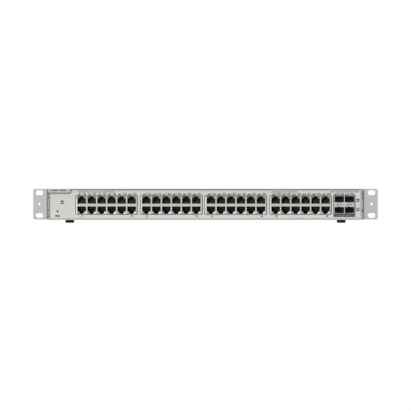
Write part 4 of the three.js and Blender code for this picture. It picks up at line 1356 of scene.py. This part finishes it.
def dress_inside():
    for (finish, edge), nodes in DRESSED.items():
        for node in nodes:
            dress(node, finish, edge)


# Stage, light and camera

def studio_world():
    """A soft room: broad light in front, a little left of and above the object, and more behind; the camera
    sees plain white."""
    world = bpy.data.worlds.new("studio")
    world.use_nodes = True
    tree = world.node_tree
    tree.nodes.clear()
    direction = add_node(tree, "TexCoord").outputs["Generated"]
    aim = Vector((-0.24, -1, 0.12)).normalized()
    facing = add_node(tree, "VectorMath", {0: direction, 1: aim}, operation="DOT_PRODUCT").outputs["Value"]
    parts = add_node(tree, "SeparateXYZ", {"Vector": direction}).outputs
    ahead = spread(tree, facing, 0.07, 0.62, 0.45, 0.85)
    behind = spread(tree, parts["Y"], 0, 0.45, 0.0, 0.5)
    above = spread(tree, parts["Z"], 0, 0.5, 0.3, 0.6)
    total = add_node(tree, "Math", {0: ahead, 1: behind}, operation="ADD").outputs[0]
    total = add_node(tree, "Math", {0: total, 1: above}, operation="ADD").outputs[0]
    room = add_node(tree, "Background", {"Color": (1, 1, 1, 1), "Strength": total})
    plain = add_node(tree, "Background", {"Color": (1, 1, 1, 1), "Strength": 1.0})
    seen = add_node(tree, "LightPath").outputs["Is Camera Ray"]
    mix = add_node(tree, "MixShader", {0: seen, 1: room.outputs[0], 2: plain.outputs[0]})
    output = add_node(tree, "OutputWorld")
    tree.links.new(mix.outputs[0], output.inputs["Surface"])
    bpy.context.scene.world = world


def softbox(name, place, size, power):
    """A square area light aimed at the object; places are in metres here."""
    light = bpy.data.lights.new(name, "AREA")
    light.shape = "SQUARE"
    light.size = size
    light.energy = power
    made = link(name, light)
    made.location = place
    aim = Vector((0, 0, MIDDLE * MM)) - Vector(place)
    made.rotation_mode = "QUATERNION"
    made.rotation_quaternion = aim.to_track_quat("-Z", "Y")
    made.visible_camera = False


def pale_floor():
    bpy.ops.mesh.primitive_plane_add(size=8, location=(0, 0, -0.0002))
    floor = bpy.context.object
    floor.name = "floor"
    material = surface("floor", (0.93, 0.93, 0.93), 0.8, 0, 0.004, 200, 3, 0.01)
    shader = material.node_tree.nodes["Principled BSDF"]
    shader.inputs["Emission Color"].default_value = (1, 1, 1, 1)
    shader.inputs["Emission Strength"].default_value = 0.35
    floor.data.materials.append(material)
    floor.visible_diffuse = False
    floor.visible_glossy = False


def set_camera():
    """Straight in front and level with the middle of the picture, with no perspective."""
    picture_width, height, standoff = 0.5756, 0.0242, 2.0
    camera = bpy.data.cameras.new("camera")
    camera.type = "ORTHO"
    camera.ortho_scale = picture_width
    camera.clip_end = 20
    made = link("camera", camera)
    made.location = (0, FRONT * MM - standoff, height)
    made.rotation_euler = (math.pi / 2, 0, 0)
    bpy.context.scene.camera = made


def build_case():
    front_bezel()
    chassis_base()
    top_cover()
    for side, sign in SIDES:
        rack_ear(side, sign)
    for index in FEET:
        rubber_foot(index)
    all_screws()


def build_front():
    for index in range(4):
        rj45_shield(index)
        rj45_housing(index)
        rj45_contacts(index)
        port_light_guide(index)
    sfp_cage()
    # A dark frame round the cage, as painted shade
    painted_cage_shade_frame()
    sfp_springs()
    printed_front()


def build_back_and_inside():
    ac_inlet()
    rear_marks()
    for index, fan in enumerate(FANS):
        fan_frame(index + 1, fan)
        fan_rotor(index + 1, fan)
    fan_leads()
    board_chips()
    small_parts()
    can_capacitors()
    supply_parts()
    transformer()
    capacitor()
    dress_inside()


bpy.context.scene.view_settings.view_transform = "Standard"
set_camera()
studio_world()
softbox("key", (-4.6, -10.0, 1.6), 4.8, 568)
softbox("top", (0, 0.3, 2.2), 2.0, 13)
pale_floor()
build_case()
build_front()
build_back_and_inside()
